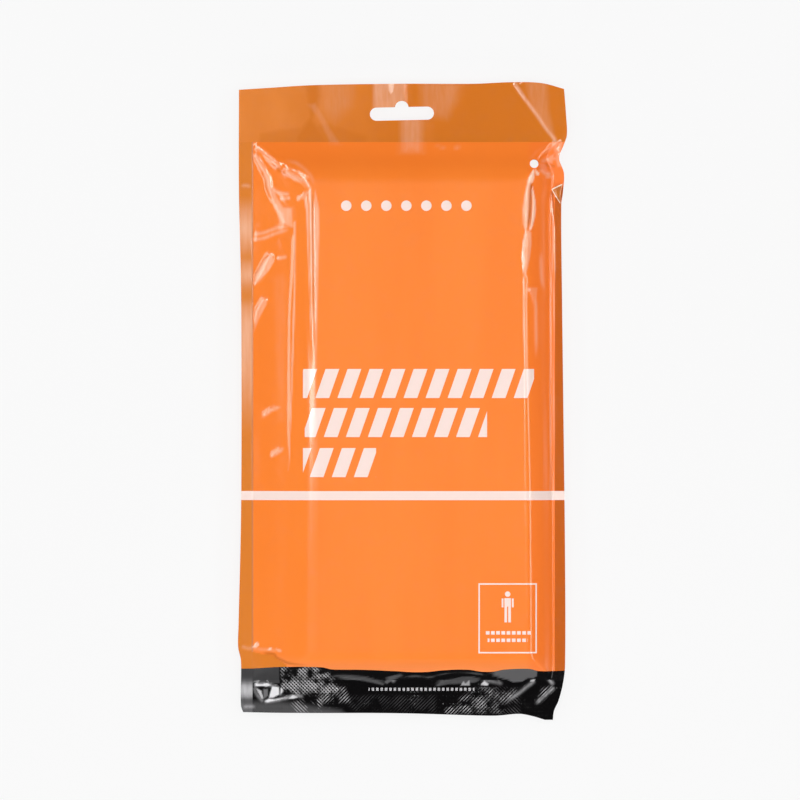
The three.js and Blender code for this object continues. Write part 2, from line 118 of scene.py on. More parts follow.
# Folds of the front, header and foot. A fold is a ridge along its route, or a dip where its height is
# below zero. Left and right are the widths of its two flanks as one walks the route, crest is how round
# its top is, mark is how strong the painted highlight along it is, or the painted shade below zero, and
# fade is the share of the route over which it grows at its start and dies away at its end.
Fold = namedtuple("Fold", "name height left right crest mark fade route")
FOLDS = (
    Fold("corner streak", 0.9, 3.0, 2.2, 0.35, 0.5, (0.1, 0.15),
         ((-73.8, 127.5), (-70.2, 125), (-66.2, 121.5), (-61.8, 117), (-60.3, 116))),
    Fold("shoulder streak", 0.8, 2.6, 2.0, 0.35, 0.5, (0.15, 0.1),
         ((-60, 116), (-57.7, 114.5), (-52.7, 111.5), (-48.2, 109), (-45.9, 105.5))),
    Fold("shoulder line", 0.5, 2.5, 1.6, 0.3, 0.2, (0.03, 0.7),
         ((-45.6, 107), (-45.9, 98), (-45.8, 70), (-45, 40), (-44, 18), (-43.5, -8))),
    Fold("shoulder soft line", 0.25, 2.0, 1.5, 0.5, 0.2, (0.1, 0.6),
         ((-44.6, 104), (-43.5, 70), (-42.9, 38), (-42.9, 15))),
    Fold("outer streak", 0.8, 2.0, 1.8, 0.35, 0.5, (0.1, 0.2),
         ((-74, 124.5), (-70.2, 117), (-67.2, 111.5), (-66.2, 105.5), (-63.5, 99))),
    Fold("broad facet", 0.5, 2.0, 7.0, 0.6, 0.0, (0.3, 0.25),
         ((-66, 107), (-60, 103), (-55.8, 96), (-53.6, 84))),
    Fold("outer line", 0.3, 1.4, 1.2, 0.4, 0.0, (0.05, 0.4),
         ((-53.8, 86), (-54.6, 60), (-55.6, 40), (-56.2, -14), (-57.3, -42))),
    Fold("upper cross line", 0.35, 1.3, 1.3, 0.3, 0.4, (0.1, 0.2),
         ((-74.8, 83), (-69, 84.2), (-63.8, 86), (-56, 87.5))),
    Fold("lower cross line", 0.35, 1.3, 1.3, 0.3, 0.4, (0.1, 0.2),
         ((-74.8, 80.6), (-69, 81.5), (-63.8, 83.6), (-56, 86))),
    Fold("upper leaf", 0.95, 3.2, 1.6, 0.4, 0.2, (0.3, 0.15), ((-74.6, 56.5), (-69.5, 64), (-64.5, 75))),
    Fold("leaf twig", 0.3, 1.0, 1.0, 0.3, 0.5, (0.3, 0.3), ((-63.3, 71.5), (-60, 71.6), (-57.2, 72.4))),
    Fold("lower leaf", 0.7, 2.6, 1.5, 0.4, 0.2, (0.35, 0.2), ((-74.4, 38), (-71, 46.5), (-67.2, 52.8))),
    Fold("upper twist", 0.6, 1.8, 1.4, 0.4, 0.6, (0.3, 0.3),
         ((-70.4, -8.5), (-66.5, -5), (-63.8, -3.8), (-59.6, -2.6))),
    Fold("lower twist", 0.6, 1.8, 1.4, 0.4, 0.6, (0.35, 0.35), ((-66.5, -28), (-62, -25.4), (-58.8, -23))),
    Fold("corner thread", 0.3, 1.0, 1.0, 0.3, 0.6, (0.2, 0.2),
         ((-65.5, 107), (-63.5, 104.8), (-60, 103.6), (-56, 103.2))),
    Fold("corner under thread", 0.3, 1.0, 1.0, 0.3, 0.5, (0.2, 0.2),
         ((-61.5, 101.3), (-58.5, 101.2), (-55.8, 101.6))),
    Fold("corner arc", 0.35, 2.2, 2.2, 0.6, 0.2, (0.3, 0.3),
         ((-60, 120), (-53.3, 119), (-48, 115), (-45.3, 111.5), (-44, 106))),
    Fold("corner triangle", 0.5, 1.6, 2.4, 0.3, 0.4, (0.3, 0.1),
         ((-53, 100.6), (-49.5, 102.2), (-47, 105))),
    Fold("weld ripple", 0.2, 3.0, 2.6, 0.8, 0.0, (0.4, 0.4), ((-77.6, 98), (-77.4, 88), (-77.8, 78))),
    Fold("second weld ripple", 0.2, 3.0, 2.6, 0.8, 0.0, (0.4, 0.4),
         ((-77.6, 68), (-77.4, 60), (-77.8, 51))),
    Fold("weld spot", 0.4, 1.2, 1.2, 0.3, 0.3, (0.4, 0.4), ((-81, 107.5), (-78, 107.8), (-75.5, 106.5))),
    Fold("low left crease", 0.45, 1.4, 1.2, 0.3, 0.2, (0.1, 0.2),
         ((-81, -122.4), (-77.2, -123.7), (-74, -123.6), (-70, -124.2), (-66, -124.4), (-61, -125))),
    Fold("low left valley", -0.12, 1.0, 1.2, 0.3, -0.6, (0.15, 0.4),
         ((-71, -126), (-64.6, -126.4), (-63, -128.1), (-59.6, -129.8), (-56.2, -131.1), (-46, -132))),
    Fold("vent strand", 0.75, 1.9, 1.3, 0.3, 0.0, (0.05, 0.25),
         ((65.4, 115.6), (63.4, 110.5), (62.4, 105.5), (62, 95.5), (61.7, 87), (61.1, 78), (60.8, 70),
          (60.9, 59.5))),
    Fold("vent second strand", 0.7, 1.5, 1.4, 0.3, 0.0, (0.1, 0.2),
         ((64.9, 108.5), (65.4, 103), (65.4, 96.5), (64.7, 90), (63.7, 82.5), (62.5, 75), (61.4, 66),
          (60.7, 59.5))),
    Fold("vent valley", -0.6, 0.9, 0.9, 0.2, -0.8, (0.1, 0.3),
         ((64.6, 109.5), (64.1, 104), (63.9, 98), (63.6, 92), (63, 87), (62.5, 84))),
    Fold("bundle valley", -0.3, 0.8, 0.8, 0.2, -0.45, (0.1, 0.5),
         ((-45, 106.5), (-44.8, 98), (-44.5, 75), (-44, 45), (-43.6, 20))),
    Fold("corner valley", -0.2, 0.8, 0.8, 0.2, -0.35, (0.2, 0.3),
         ((-67, 120), (-62.5, 116), (-59.5, 114), (-54, 111.3), (-50, 109.2))),
    Fold("weld valley", -0.3, 0.9, 0.9, 0.2, -0.75, (0.05, 0.5),
         ((74.6, 105.5), (75.1, 100), (75.6, 94), (76, 84))),
    Fold("pinch valley", -0.3, 1.0, 1.0, 0.3, -0.35, (0.3, 0.2), ((70.5, 118.3), (74, 117.8), (77, 117))),
    Fold("right shoulder line", 0.35, 2.0, 1.5, 0.4, 0.0, (0.03, 0.6),
         ((60.6, 60), (61.1, 30), (61.3, 0), (61.6, -45))),
    Fold("right facet", 0.35, 2.4, 1.6, 0.3, 0.3, (0.2, 0.3),
         ((62.6, 56.5), (65, 53), (66.4, 49), (66.7, 40), (66.8, 20))),
    Fold("right cross facet", 0.3, 1.4, 1.4, 0.3, 0.2, (0.3, 0.3), ((62.4, 56), (68, 55.6))),
    Fold("pinch ray", 0.5, 1.6, 1.2, 0.3, 0.15, (0.2, 0.15), ((67.8, 123.5), (73, 125.5), (79.5, 131))),
    Fold("pinch middle ray", 0.55, 1.8, 1.3, 0.35, 0.3, (0.2, 0.1),
         ((68.6, 119.5), (74, 121), (78.6, 121.6))),
    Fold("pinch lower ray", 0.5, 1.6, 1.4, 0.35, 0.3, (0.2, 0.2),
         ((68, 116.2), (71.5, 113.5), (75.5, 111.5))),
    Fold("pinch upper edge", 0.5, 1.5, 1.5, 0.35, 0.3, (0.2, 0.2), ((79, 121.6), (76.5, 126), (77.5, 131))),
    Fold("right weld line", 0.1, 0.9, 0.9, 0.25, 0.0, (0.1, 0.2), ((75.3, 95), (75.2, 78), (75.3, 60))),
    Fold("right hairs", 0.15, 0.9, 0.9, 0.3, 0.25, (0.3, 0.3), ((69, 76), (69.4, 62), (71, 54))),
    Fold("header corner crease", 0.35, 1.4, 0.9, 0.2, 0.45, (0.02, 0.1),
         ((55.6, 159.5), (60.7, 152), (65.2, 146), (71.7, 136.5), (78, 128.5))),
    Fold("header corner flank", 0.4, 6.0, 3.0, 1.0, 0.0, (0.02, 0.6), ((60, 160), (66, 152), (71, 143))),
    Fold("header left ripple", 0.5, 5.0, 5.0, 1.5, 0.0, (0.3, 0.2),
         ((-58.5, 149), (-54, 139), (-49, 129.5))),
    Fold("slot upper ripple", 0.8, 9.0, 6.0, 2.0, 0.0, (0.02, 0.3), ((-6, 160), (-6, 152), (-6, 146))),
    Fold("slot lower ripple", 0.7, 6.0, 5.0, 1.5, 0.0, (0.2, 0.1), ((9, 142), (8.4, 136), (8, 129.5))),
    Fold("right of slot ripple", 0.6, 8.0, 8.0, 2.0, 0.0, (0.02, 0.4), ((22, 160), (21, 152), (19, 146))),
    Fold("slack spot", 0.35, 1.6, 1.6, 0.5, 0.2, (0.4, 0.4), ((17, 128.6), (19.5, 126.8), (21, 125.4))),
    Fold("second slack spot", 0.3, 1.3, 1.3, 0.4, 0.2, (0.4, 0.4), ((26.8, 125), (28, 127.5), (29, 129.3))),
    Fold("foot arch", 0.8, 2.2, 1.6, 0.35, 0.0, (0.1, 0.1),
         ((-1.2, -140.2), (2, -136.8), (9.6, -136.4), (12.7, -137.3), (17.7, -135.9), (21.5, -135.4),
          (31.2, -134.9), (40, -135.5), (44.7, -137.6), (50.7, -141.2))),
    Fold("foot lens", 0.8, 1.6, 3.4, 0.5, 0.1, (0.25, 0.3),
         ((15.5, -142.5), (21, -139.2), (29, -138), (37, -139.4))),
    Fold("foot left leaf", 0.8, 1.6, 3.6, 0.5, 0.1, (0.2, 0.3),
         ((-37, -136.6), (-26, -136.8), (-18.5, -137), (-12, -139.4), (-6, -142))),
    Fold("foot triangle", 0.6, 1.6, 1.6, 0.3, 0.2, (0.2, 0.2),
         ((-5.5, -141), (-3.4, -138.4), (-1.4, -135.6))),
    Fold("crumple arch", 1.2, 2.0, 3.4, 0.3, 0.3, (0.1, 0.15),
         ((-75, -142.6), (-69.5, -141.5), (-64, -143.3), (-60, -148))),
    Fold("crumple cut", -0.9, 2.6, 2.0, 0.3, 0.0, (0.15, 0.15),
         ((-67.6, -142.4), (-66, -145), (-66.4, -149))),
    Fold("crumple side", 0.9, 1.8, 2.2, 0.3, 0.2, (0.1, 0.1),
         ((-74.4, -143), (-72.6, -147), (-69.4, -150.6))),
    Fold("crumple foot", 1.1, 2.2, 1.6, 0.3, 0.4, (0.1, 0.2),
         ((-69.6, -150.6), (-62, -149.4), (-56, -148), (-51, -147.6))),
    Fold("crumple leaf", 0.8, 1.5, 1.5, 0.3, 0.3, (0.3, 0.3),
         ((-57, -148.8), (-53, -147.4), (-49, -148.2))),
    Fold("corner weld slope", 0.7, 3.5, 4.0, 1.0, 0.0, (0.3, 0.3),
         ((-78, -140), (-77.4, -144.5), (-77.6, -149))),
    Fold("low left thread", 0.3, 1.0, 1.0, 0.3, 0.3, (0.2, 0.3), ((-80, -153), (-77, -152.8), (-73, -153))),
    Fold("right foot ridge", 1.1, 2.2, 2.0, 0.35, 0.3, (0.1, 0.3),
         ((66.5, -139.6), (61.5, -143.5), (57, -147), (51.5, -150.5))),
    Fold("right foot valley", -0.8, 2.4, 2.4, 0.5, 0.0, (0.2, 0.3), ((70, -141), (65, -147), (60, -155))),
    Fold("right corner ridge", 1.2, 2.2, 2.2, 0.35, 0.3, (0.1, 0.25),
         ((76.2, -143), (71.5, -147), (66, -152))),
    Fold("right corner thread", 0.4, 1.0, 1.0, 0.3, 0.4, (0.1, 0.2),
         ((70.8, -135.2), (73, -138.5), (75.8, -142.4))),
    Fold("right foot pleat", 0.7, 2.0, 1.6, 0.3, 0.2, (0.2, 0.3),
         ((50.7, -141.6), (43, -140), (38.5, -140.6))),
)

# Every fold: how many of its wider flanks it may reach from its route, how round its foot is, how wide its
# line of painted highlight and its line of painted shade are, and in how many steps its route runs from
# point to point
FOLD_REACH = 1.3
FOLD_FOOT = 0.006
PALE_LINE = 0.8
SHADED_LINE = 0.65
ROUTE_STEPS = 6

# Facets of crumpled film: straight folds in a few directions, added up inside a soft-edged patch
Crumple = namedtuple("Crumple", "angle length height")
CRUMPLE = (
    Crumple(17, 11.0, 0.45), Crumple(74, 8.3, 0.34), Crumple(128, 6.1, 0.26), Crumple(158, 4.3, 0.16),
    Crumple(42, 3.1, 0.10),
)
Patch = namedtuple("Patch", "name x y half_width half_length edge strength")
PATCHES = (
    Patch("left crumple", -66, -147, 12, 6, 4, 1.0),
    Patch("left hatch", -47, -145, 12, 8, 6, 0.35),
    Patch("middle foot", 0, -147, 40, 7, 6, 0.3),
    Patch("right foot", 58, -147, 20, 7, 6, 0.55),
    Patch("upper left slope", -64, 100, 9, 24, 6, 0.22),
    Patch("left slope", -65, 20, 8, 90, 8, 0.07),
    Patch("vent corner", 72, 116, 6, 12, 4, 0.25),
    Patch("right slope", 69, 20, 4, 90, 4, 0.04),
)

# How the crumpled folds wander from their straight directions
WARP = {"length": 23.0, "reach": 3.0, "bend": 0.7, "bend_rate": 1.7, "cross_rate": 1.3, "cross_start": 2.1}

# Punched holes
SLOT = {"x": -0.3, "y": 143.7, "length": 32, "width": 6.6, "bump": 3.4, "lift": 3.1, "tilt": 1.2}
VENT = {"x": 65.8, "y": 118.6, "radius": 2.2}
PUNCH_DEPTH = 60
ARC_STEPS = 24

# Folded bag: its layers from the back to the front and how far each fold reaches
PLIES = 1.9
PLY_GAP = 0.4
BAG_REACHES = (-123, 106, -129.5, 117, -131.5, 111.5, -126.6, 103)
BAG_SIDES = {"left": -54, "right": 67, "left_tuck": 12.2, "right_tuck": 10.8}
BAG_CORNER = {"reach": 14, "tuck": 5}
BAG_BASE = 1.3
BAG_TURN_STEPS = 12
BAG_STEP = 2.5

# Rings across the folded bag, its soft ripple, and the lowest that the ripple may take it
BAG_STATIONS = 46
BAG_RIPPLE = {"height": 0.12, "across": 0.35, "up": 1.3, "down": 0.06}
BAG_LOWEST = 1.1

# Grid lines: each span runs from the last place to its own, in steps of its own
FILM_COLUMNS = (-81, (-75, 0.75), (-38, 0.62), (54, 2.4), (81, 0.62))
FILM_ROWS = ((-118, 0.7), (30, 1.15), (HEADER_LINE, 0.75))
BACK_COLUMNS = (-81, (-38, 0.9), (54, 3.4), (81, 0.8))
BACK_ROWS = ((-118, 0.9), (70, 1.6), (HEADER_LINE, 1.0))
STRIP_COLUMNS = (-81, (81, 0.45))
STRIP_STEP = 0.48

# Degrees between two faces that meet in a sharp edge
SHARP_EDGE = 40

# Where the print turns from orange to black: (x, y), and the lowest and highest y that its curve takes
BLACK_RANGE = (-137.0, -131.0)
BLACK_EDGE = (
    (-83, -133.7), (-80.7, -133.8), (-57.7, -132.8), (-41.2, -133.0), (-34, -134.2), (-21.2, -134.3),
    (-3.7, -135.0), (8, -135.5), (20, -134.6), (30.2, -134.2), (37, -134.9), (42, -135.4), (51, -134.2),
    (62, -133.8), (69, -135.0), (76, -135.0), (83, -134.6),
)

# Print on the front: plain stripe, rows of slanted bars, a ring of dots and a boxed standing figure
STRIPE = {"y": -47.25, "half": 2.25}
Row = namedtuple("Row", "left right low high")
BAR_ROWS = (Row(-49.7, 65.7, 1.5, 16), Row(-48.8, 42.2, -18, -3.5), Row(-49.7, -13.2, -38, -23.5))
BAR = {"pitch": 11.0, "share": 0.62, "slant": 0.35}
DOTS = {"left": -30.7, "right": 39.3, "y": 97.5, "pitch": 10.0, "radius": 2.6}
BOX = {"x": 52.5, "y": -108.5, "half_width": 14.6, "half_height": 17.5, "line": 0.7}
FIGURE = (
    Row(50.9, 54.1, -102.6, -98.4), Row(49.5, 50.4, -103.0, -98.6), Row(54.6, 55.5, -103.0, -98.6),
    Row(50.9, 52.2, -110.5, -102.6), Row(52.8, 54.1, -110.5, -102.6),
)
FIGURE_HEAD = {"x": 52.5, "y": -96.4, "radius": 1.35}
RULES = (Row(41, 64, -116.6, -114.9), Row(42.5, 62.5, -120.3, -118.6))
RULE_DASH = {"pitch": 2.6, "share": 0.7}
FOOT_RULE = Row(-17, 36, -144.9, -143.4)
FOOT_DASH = {"pitch": 2.2, "share": 0.55, "strength": 0.6}

# Facets of the film between its folds: how high one stands, how strong its tone is, how soft its edge
# is, and its corners. Pale ones are painted highlights and sheen on the orange film. Those after them are
# darker patches of the header and painted grey reflections on smooth patches of the foot. Rising and
# falling ones carry painted highlights along the crimp's two directions, and welded ones lie flat on the
# left weld, below its low crease.
Facet = namedtuple("Facet", "name lift share edge corners")
# Painted highlights and sheen on the orange film, on its front and its header
PALE_FACETS = (
    Facet("outer band", 0.25, 0.45, 1.7,
          ((-70.2, 117.5), (-67.2, 114.5), (-64.7, 108), (-61.5, 101), (-59.2, 97.5), (-54.5, 97),
           (-54.2, 89.5), (-53.2, 86), (-56, 86), (-60.7, 88.5), (-62.7, 93.5), (-65.7, 99.5), (-68.7, 107),
           (-70.2, 112.5))),
    Facet("upper leaf", 0.3, 0.5, 0.9,
          ((-74.4, 56.5), (-74.4, 63), (-69.2, 71.5), (-65, 74), (-63.7, 69.7), (-66.7, 64.7))),
    Facet("lower leaf", 0.2, 0.38, 0.9,
          ((-74.4, 45), (-70.7, 50.5), (-67.2, 52.5), (-67.7, 48), (-71.7, 40.5), (-74, 34), (-74.4, 30))),
    Facet("shoulder triangle", 0.2, 0.4, 0.8, ((-53, 100.8), (-49, 104.5), (-47.6, 103), (-48, 100.5))),
    Facet("vent fan", 0.2, 0.95, 0.5,
          ((65.5, 116.4), (66.3, 114.5), (66.1, 112), (65.6, 109.6), (64.6, 108.2), (62.4, 108.8),
           (62.8, 112), (64.2, 114.4))),
    Facet("vent fan tip", 0.2, 0.95, 0.4, ((65.9, 116.4), (69, 113.4), (67.2, 112.2), (66.5, 113))),
    Facet("vent strand", 0.15, 0.7, 0.7,
          ((62.3, 110.5), (64.6, 110), (63.9, 105.5), (63.6, 100.5), (63.5, 95.5), (63, 90.5), (62.6, 86.5),
           (61.2, 84), (60, 88), (59.7, 95.5), (60.4, 102), (61.3, 106.5))),
    Facet("vent second strand", 0.2, 0.9, 0.6,
          ((64.3, 107), (65.6, 105.5), (66.5, 100.5), (66.8, 95.5), (66.3, 91.5), (65.3, 87.5), (63.9, 84),
           (63.2, 86), (63.9, 89.5), (64.4, 94.5), (64.5, 99.5), (64.2, 104))),
    Facet("strand lens", 0.1, 0.42, 0.8,
          ((61.2, 86.5), (64.6, 84.5), (64.7, 78), (63.8, 70.5), (62, 63), (60.8, 58.5), (60, 64.5),
           (59.8, 71.5), (60, 79))),
    Facet("strand lens edge", 0.1, 0.85, 0.5,
          ((61.2, 86), (62.4, 83.5), (61.9, 78), (61.4, 71.5), (61.2, 65.5), (61, 60.5), (59.9, 64.5),
           (59.4, 72), (59.7, 79.5))),
    Facet("right shoulder band", 0.1, 0.4, 0.6,
          ((60.2, 65), (61.5, 62), (62, 30), (61.9, 5), (61.3, -12), (60.8, 5), (60.2, 30))),
    Facet("right shoulder edge", 0.0, 0.7, 0.5, ((60, 64), (60.9, 60), (60.9, 36), (60.6, 15), (60.1, 36))),
    Facet("right inner line", 0.1, 0.42, 0.5,
          ((75.4, 96), (76.1, 86), (75.9, 76), (75, 62), (74.5, 48), (74.4, 10), (74.4, -46), (73.4, -46),
           (73.4, 10), (73.5, 48), (74.1, 62), (74.6, 76), (74.8, 86))),
    Facet("right outer line", 0.1, 0.5, 0.5,
          ((76.1, 84), (76.6, 74), (76.1, 52), (76, 10), (76, -46), (75.2, -46), (75.2, 10), (75.2, 52),
           (75.7, 74))),
    Facet("right facet", 0.2, 0.2, 0.8,
          ((62.6, 57), (67.8, 57), (67, 46), (66.4, 25), (65.8, 46), (64, 53))),
    Facet("bundle flank", 0.15, 0.6, 0.7,
          ((-49.5, 101.5), (-47.6, 103), (-46.8, 98), (-46.4, 75), (-45.7, 50), (-45.1, 30), (-46.1, 30),
           (-46.9, 55), (-47.9, 80), (-48.4, 94))),
    Facet("bundle core", 0.2, 0.9, 0.6,
          ((-47.6, 104.5), (-45.3, 108), (-45.2, 97), (-44.9, 75), (-44.6, 50), (-44, 20), (-44.7, 20),
           (-45.6, 50), (-46.2, 75), (-46.6, 97))),
    Facet("bundle outer", 0.1, 0.52, 0.9,
          ((-44.3, 109), (-42.6, 103), (-41.3, 96), (-41.2, 84), (-41.8, 60), (-42.4, 35), (-43, 0),
           (-43.4, -30), (-43.9, 0), (-43.9, 35), (-44, 60), (-44.3, 90))),
    Facet("outer line band", 0.1, 0.6, 0.5,
          ((-54.5, 90), (-54.6, 55.5), (-55.3, 30.5), (-56, 5.5), (-57.2, -34.5), (-56.4, -34.5),
           (-54.9, 5.5), (-54, 30.5), (-53.3, 55.5), (-53.2, 90))),
    Facet("left soft band", 0.0, 0.06, 4.0, ((-66, 62), (-59, 66), (-56, 60), (-57, -12), (-64, -12))),
    Facet("header middle bloom", 0.0, 0.09, 8.0,
          ((-46, 172), (-20, 172), (-22, 146), (-34, 134), (-44, 144))),
    Facet("header thread", 0.1, 0.1, 2.2,
          ((-49, 149), (-43, 141), (-38.5, 132), (-36, 127), (-29, 127), (-35, 136), (-39, 144),
           (-43, 150))),
    Facet("slot column", 0.2, 0.3, 2.6, ((-15.7, 175), (2.7, 175), (2.7, 144), (-15.7, 144))),
    Facet("slot speck", 0.1, 0.85, 0.9, ((-8, 162), (-3, 162), (-4.2, 154.5), (-6, 152.5), (-7.4, 155))),
    Facet("right of slot", 0.1, 0.13, 7.0, ((4.5, 175), (31, 175), (30, 150), (24, 138), (7, 140))),
    Facet("below slot", 0.1, 0.22, 5.0, ((-3, 147), (12, 147), (12, 122), (-3, 122))),
    Facet("corner bloom", 0.0, 0.13, 4.0,
          ((57, 175), (73, 175), (75, 145.5), (79, 126), (70.5, 134), (62, 148))),
    Facet("pinch edge", 0.0, 0.3, 1.2,
          ((77.2, 130), (81, 130), (79.5, 124), (79, 121), (80.2, 116.5), (77.2, 116.5), (76, 121),
           (76.2, 125))),
    Facet("pinch lower spot", 0.1, 0.3, 1.2, ((70.4, 114.8), (74.8, 115), (74.6, 111), (71.2, 110.6))),
    Facet("top ray", 0.1, 0.05, 1.6,
          ((62, 121), (66, 126), (75, 130.2), (77, 128.5), (69, 124.5), (64.5, 119.8))),
    Facet("low left sparkle", 0.2, 0.9, 0.5,
          ((-75.4, -123), (-72.6, -119.8), (-71.2, -122), (-73.2, -123.8))),
    Facet("low left spot", 0.2, 0.9, 0.4, ((-68, -124.2), (-66.2, -122.8), (-64.6, -123.9), (-66.4, -125))),
    Facet("low left patch", 0.2, 0.5, 0.8,
          ((-63.6, -123), (-60.4, -124), (-59.8, -125.7), (-61.6, -125.9), (-63.6, -124.8))),
    Facet("pinch facet", 0.1, 0.3, 1.0,
          ((69.8, 120.6), (76.4, 124.5), (75.8, 121), (75.2, 118.3), (73, 118.6))),
)
# Darker patches of the header, and painted grey reflections on smooth patches of the foot
FOOT_SHEEN_HEADER_DARK_FACETS = (
    Facet("header dark band", 0.0, 0.8, 5.0,
          ((-53, 166), (-39, 166), (-38, 152), (-42, 141), (-34, 131), (-34, 120), (-58, 120), (-56, 134),
           (-49, 143))),
    Facet("header dark foot", 0.0, 0.6, 4.0,
          ((-74, 136), (-52, 139), (-36, 141), (-16, 134), (-16, 120), (-74, 120))),
    Facet("left panel", 0.0, 0.062, 0.4,
          ((-84, -131), (-61.3, -131), (-61.3, -141.4), (-67.2, -141.5), (-75.2, -141.2), (-84, -141.5))),
    Facet("right panel", 0.1, 0.15, 0.5,
          ((43.6, -136.2), (52.3, -132), (67.5, -132), (67.5, -137.6), (65.6, -138.6), (62.3, -139),
           (59.9, -140.5), (55.1, -140.8), (52.3, -139.6), (48.5, -138.6))),
    Facet("lens", 0.3, 0.09, 0.6,
          ((16, -142.4), (19.3, -140.2), (23.6, -138.9), (30.3, -137.6), (36.5, -137.6), (38.9, -139.5),
           (37, -140.8), (32.2, -141.5), (22.7, -141.9), (17.9, -142.9))),
    Facet("leaf", 0.3, 0.095, 0.8,
          ((-36.6, -137.5), (-32.9, -136.5), (-27.3, -136.5), (-17.9, -137.5), (-14.2, -138.9),
           (-8.6, -141.2), (-9.5, -142.6), (-15.1, -141.2), (-22.6, -139.8), (-31, -138.4))),
    Facet("triangle", 0.2, 0.12, 0.6,
          ((-9.5, -140.7), (-6.7, -137.5), (0.3, -136), (0.3, -137.5), (-3.9, -139.3), (-7.7, -141.7))),
    Facet("lower left", 0.0, 0.09, 4.0,
          ((-90, -148.5), (-62, -148.5), (-50, -150), (-30, -153), (-12, -170), (-90, -170))),
    Facet("crumple top", 0.3, 1.0, 0.5,
          ((-74, -140.9), (-69.8, -141.3), (-67.5, -140.8), (-65, -142.2), (-68, -143), (-69.8, -142.7),
           (-73.8, -142.8))),
    Facet("crumple right", 0.4, 1.0, 0.6,
          ((-65.3, -142.4), (-61.5, -142.9), (-61.5, -147), (-64.5, -148.5), (-67.1, -148.7),
           (-66.3, -145.4))),
    Facet("crumple right edge", 0.2, 0.9, 0.4,
          ((-61.2, -142.6), (-59.9, -144), (-59.5, -145.4), (-61.3, -147.2), (-61, -145.2))),
    Facet("crumple middle", 0.2, 0.2, 0.7, ((-70, -143.7), (-67, -143.7), (-67, -147.5), (-69.6, -149.6))),
    Facet("crumple left", 0.3, 0.7, 0.5,
          ((-73.8, -142.9), (-70.4, -144.8), (-69.3, -149.1), (-70.5, -149.2), (-72.4, -145.6))),
    Facet("crumple rim", 0.2, 1.0, 0.5,
          ((-69.8, -150.3), (-68.4, -149.5), (-66.9, -148.6), (-64, -149), (-61.3, -148.5), (-58.4, -147.9),
           (-58.4, -148.5), (-61.3, -149.4), (-64.5, -150.1), (-67.3, -150.9))),
    Facet("crumple leaf", 0.2, 0.8, 0.5,
          ((-57.6, -149.1), (-55, -146.7), (-52.2, -147.8), (-52.4, -148.5), (-54.6, -149.1))),
    Facet("lens sparkle", 0.2, 0.45, 0.5,
          ((28.5, -142.5), (30.5, -139.5), (31.5, -141), (33.5, -139), (34, -142.5))),
    Facet("bright triangle", 0.3, 0.75, 0.5, ((38.5, -142), (41, -139.6), (43.5, -141.6), (42.5, -142.6))),
    Facet("ridge sparkle", 0.2, 0.7, 0.5, ((63.5, -139.5), (66.5, -138.9), (66.2, -140.2), (63.8, -140.5))),
)
LEFT_CRIMP = (
    (-61.3, -131.5), (-45, -131.5), (-36, -136), (-34, -141), (-30, -144), (-34, -147.5), (-44, -146.5),
    (-52, -148), (-58, -145), (-61.3, -146),
)
# Where painted highlights run along the crimp's rising lines
RISING_FACETS = (
    Facet("left crimp", 0.0, 0.3, 1.5, LEFT_CRIMP),
    Facet("middle left crimp", 0.0, 0.45, 3.0, ((-44, -142), (-28, -142), (-24, -152), (-42, -152))),
    Facet("middle crimp", 0.0, 0.045, 3.0, ((-28, -146), (18, -146), (18, -157), (-28, -156))),
    Facet("right crimp", 0.0, 0.45, 3.0, ((15, -158), (30, -146), (40, -142), (47, -143), (43, -158))),
    Facet("ridge crimp", 0.0, 0.4, 2.5, ((41, -157), (46, -145), (64, -141), (56, -148), (50, -157))),
    Facet("corner crimp", 0.0, 0.4, 2.5, ((66, -152), (69, -142), (76, -141.5), (77, -145), (70, -152))),
)
# Where painted highlights run along the crimp's falling lines
FALLING_FACETS = (
    Facet("left crimp", 0.0, 0.6, 1.5, LEFT_CRIMP),
    Facet("low left crimp", 0.0, 0.45, 3.0,
          ((-58, -150), (-47, -146.5), (-38, -147), (-40, -157), (-54, -157))),
    Facet("right crimp", 0.0, 0.08, 3.0, ((30, -158), (35, -142), (60, -142), (60, -158))),
)
WELDED_FACETS = (
    Facet("low left weld", 0.0, 0.9, 0.6,
          ((-84, -122.6), (-77, -124.6), (-70, -126.2), (-64.5, -126.8), (-62.8, -128.6), (-59.4, -130.4),
           (-57.5, -132), (-57, -136), (-84, -136))),
)
TONES = {
    "pale": PALE_FACETS, "foot_sheen_header_dark": FOOT_SHEEN_HEADER_DARK_FACETS, "rising": RISING_FACETS, "falling": FALLING_FACETS,
    "welded": WELDED_FACETS,
}

# How strong the painted sheen on the left weld is along its length: (y, share)
WELD_PAINTED_SHEEN = (
    (-160, 0.05), (-154, 0.1), (-149.5, 0.12), (-147.5, 0.42), (-145, 0.62), (-142.5, 0.5), (-140, 0.1),
    (-137, 0), (-120, 0), (-20, 0), (-8, 0.08), (5, 0.24), (18, 0.36), (36, 0.44), (45, 0.3), (52, 0.04),
    (57, 0.12), (63, 0.38), (68, 0.22), (72, 0.06), (77, 0.2), (86, 0.46), (94, 0.26), (103, 0), (130, 0),
)

# Crimp of the foot: crossed lines of painted highlight that stray a little, and small raised diamonds. The
# diamonds are dropped on the strip from above. They stay off its cut edges, and off the smooth spans above
# the low line.
CRIMP = {"pitch": 1.75, "share": 0.36, "stray": 0.12, "wander": 3}
KNURL = {"radius": 0.5, "rise": 0.08, "margin": 0.8, "drop": 10}
SMOOTH_SPANS = ((-82, -62), (-15, 14), (41, 68))
SMOOTH_LOW = -142.5

# A corner of the right weld folded over: its outline, where its cut edge carries a painted highlight, its
# rings from the rim inwards, and how it stands above the film
FLAP_OUTLINE = (
    (74.4, 106.0), (79.9, 108.6), (79.6, 106.2), (79.2, 103.6), (79, 101.1), (78.9, 98.6), (76.4, 102.4),
)
FLAP = {
    "rim": (1, 1, 0, 0, 0, 1, 1), "rings": (1.0, 0.74, 0.4), "gap": 0.1, "lift": 0.5, "droop": 0.6,
    "film": 0.35,
}

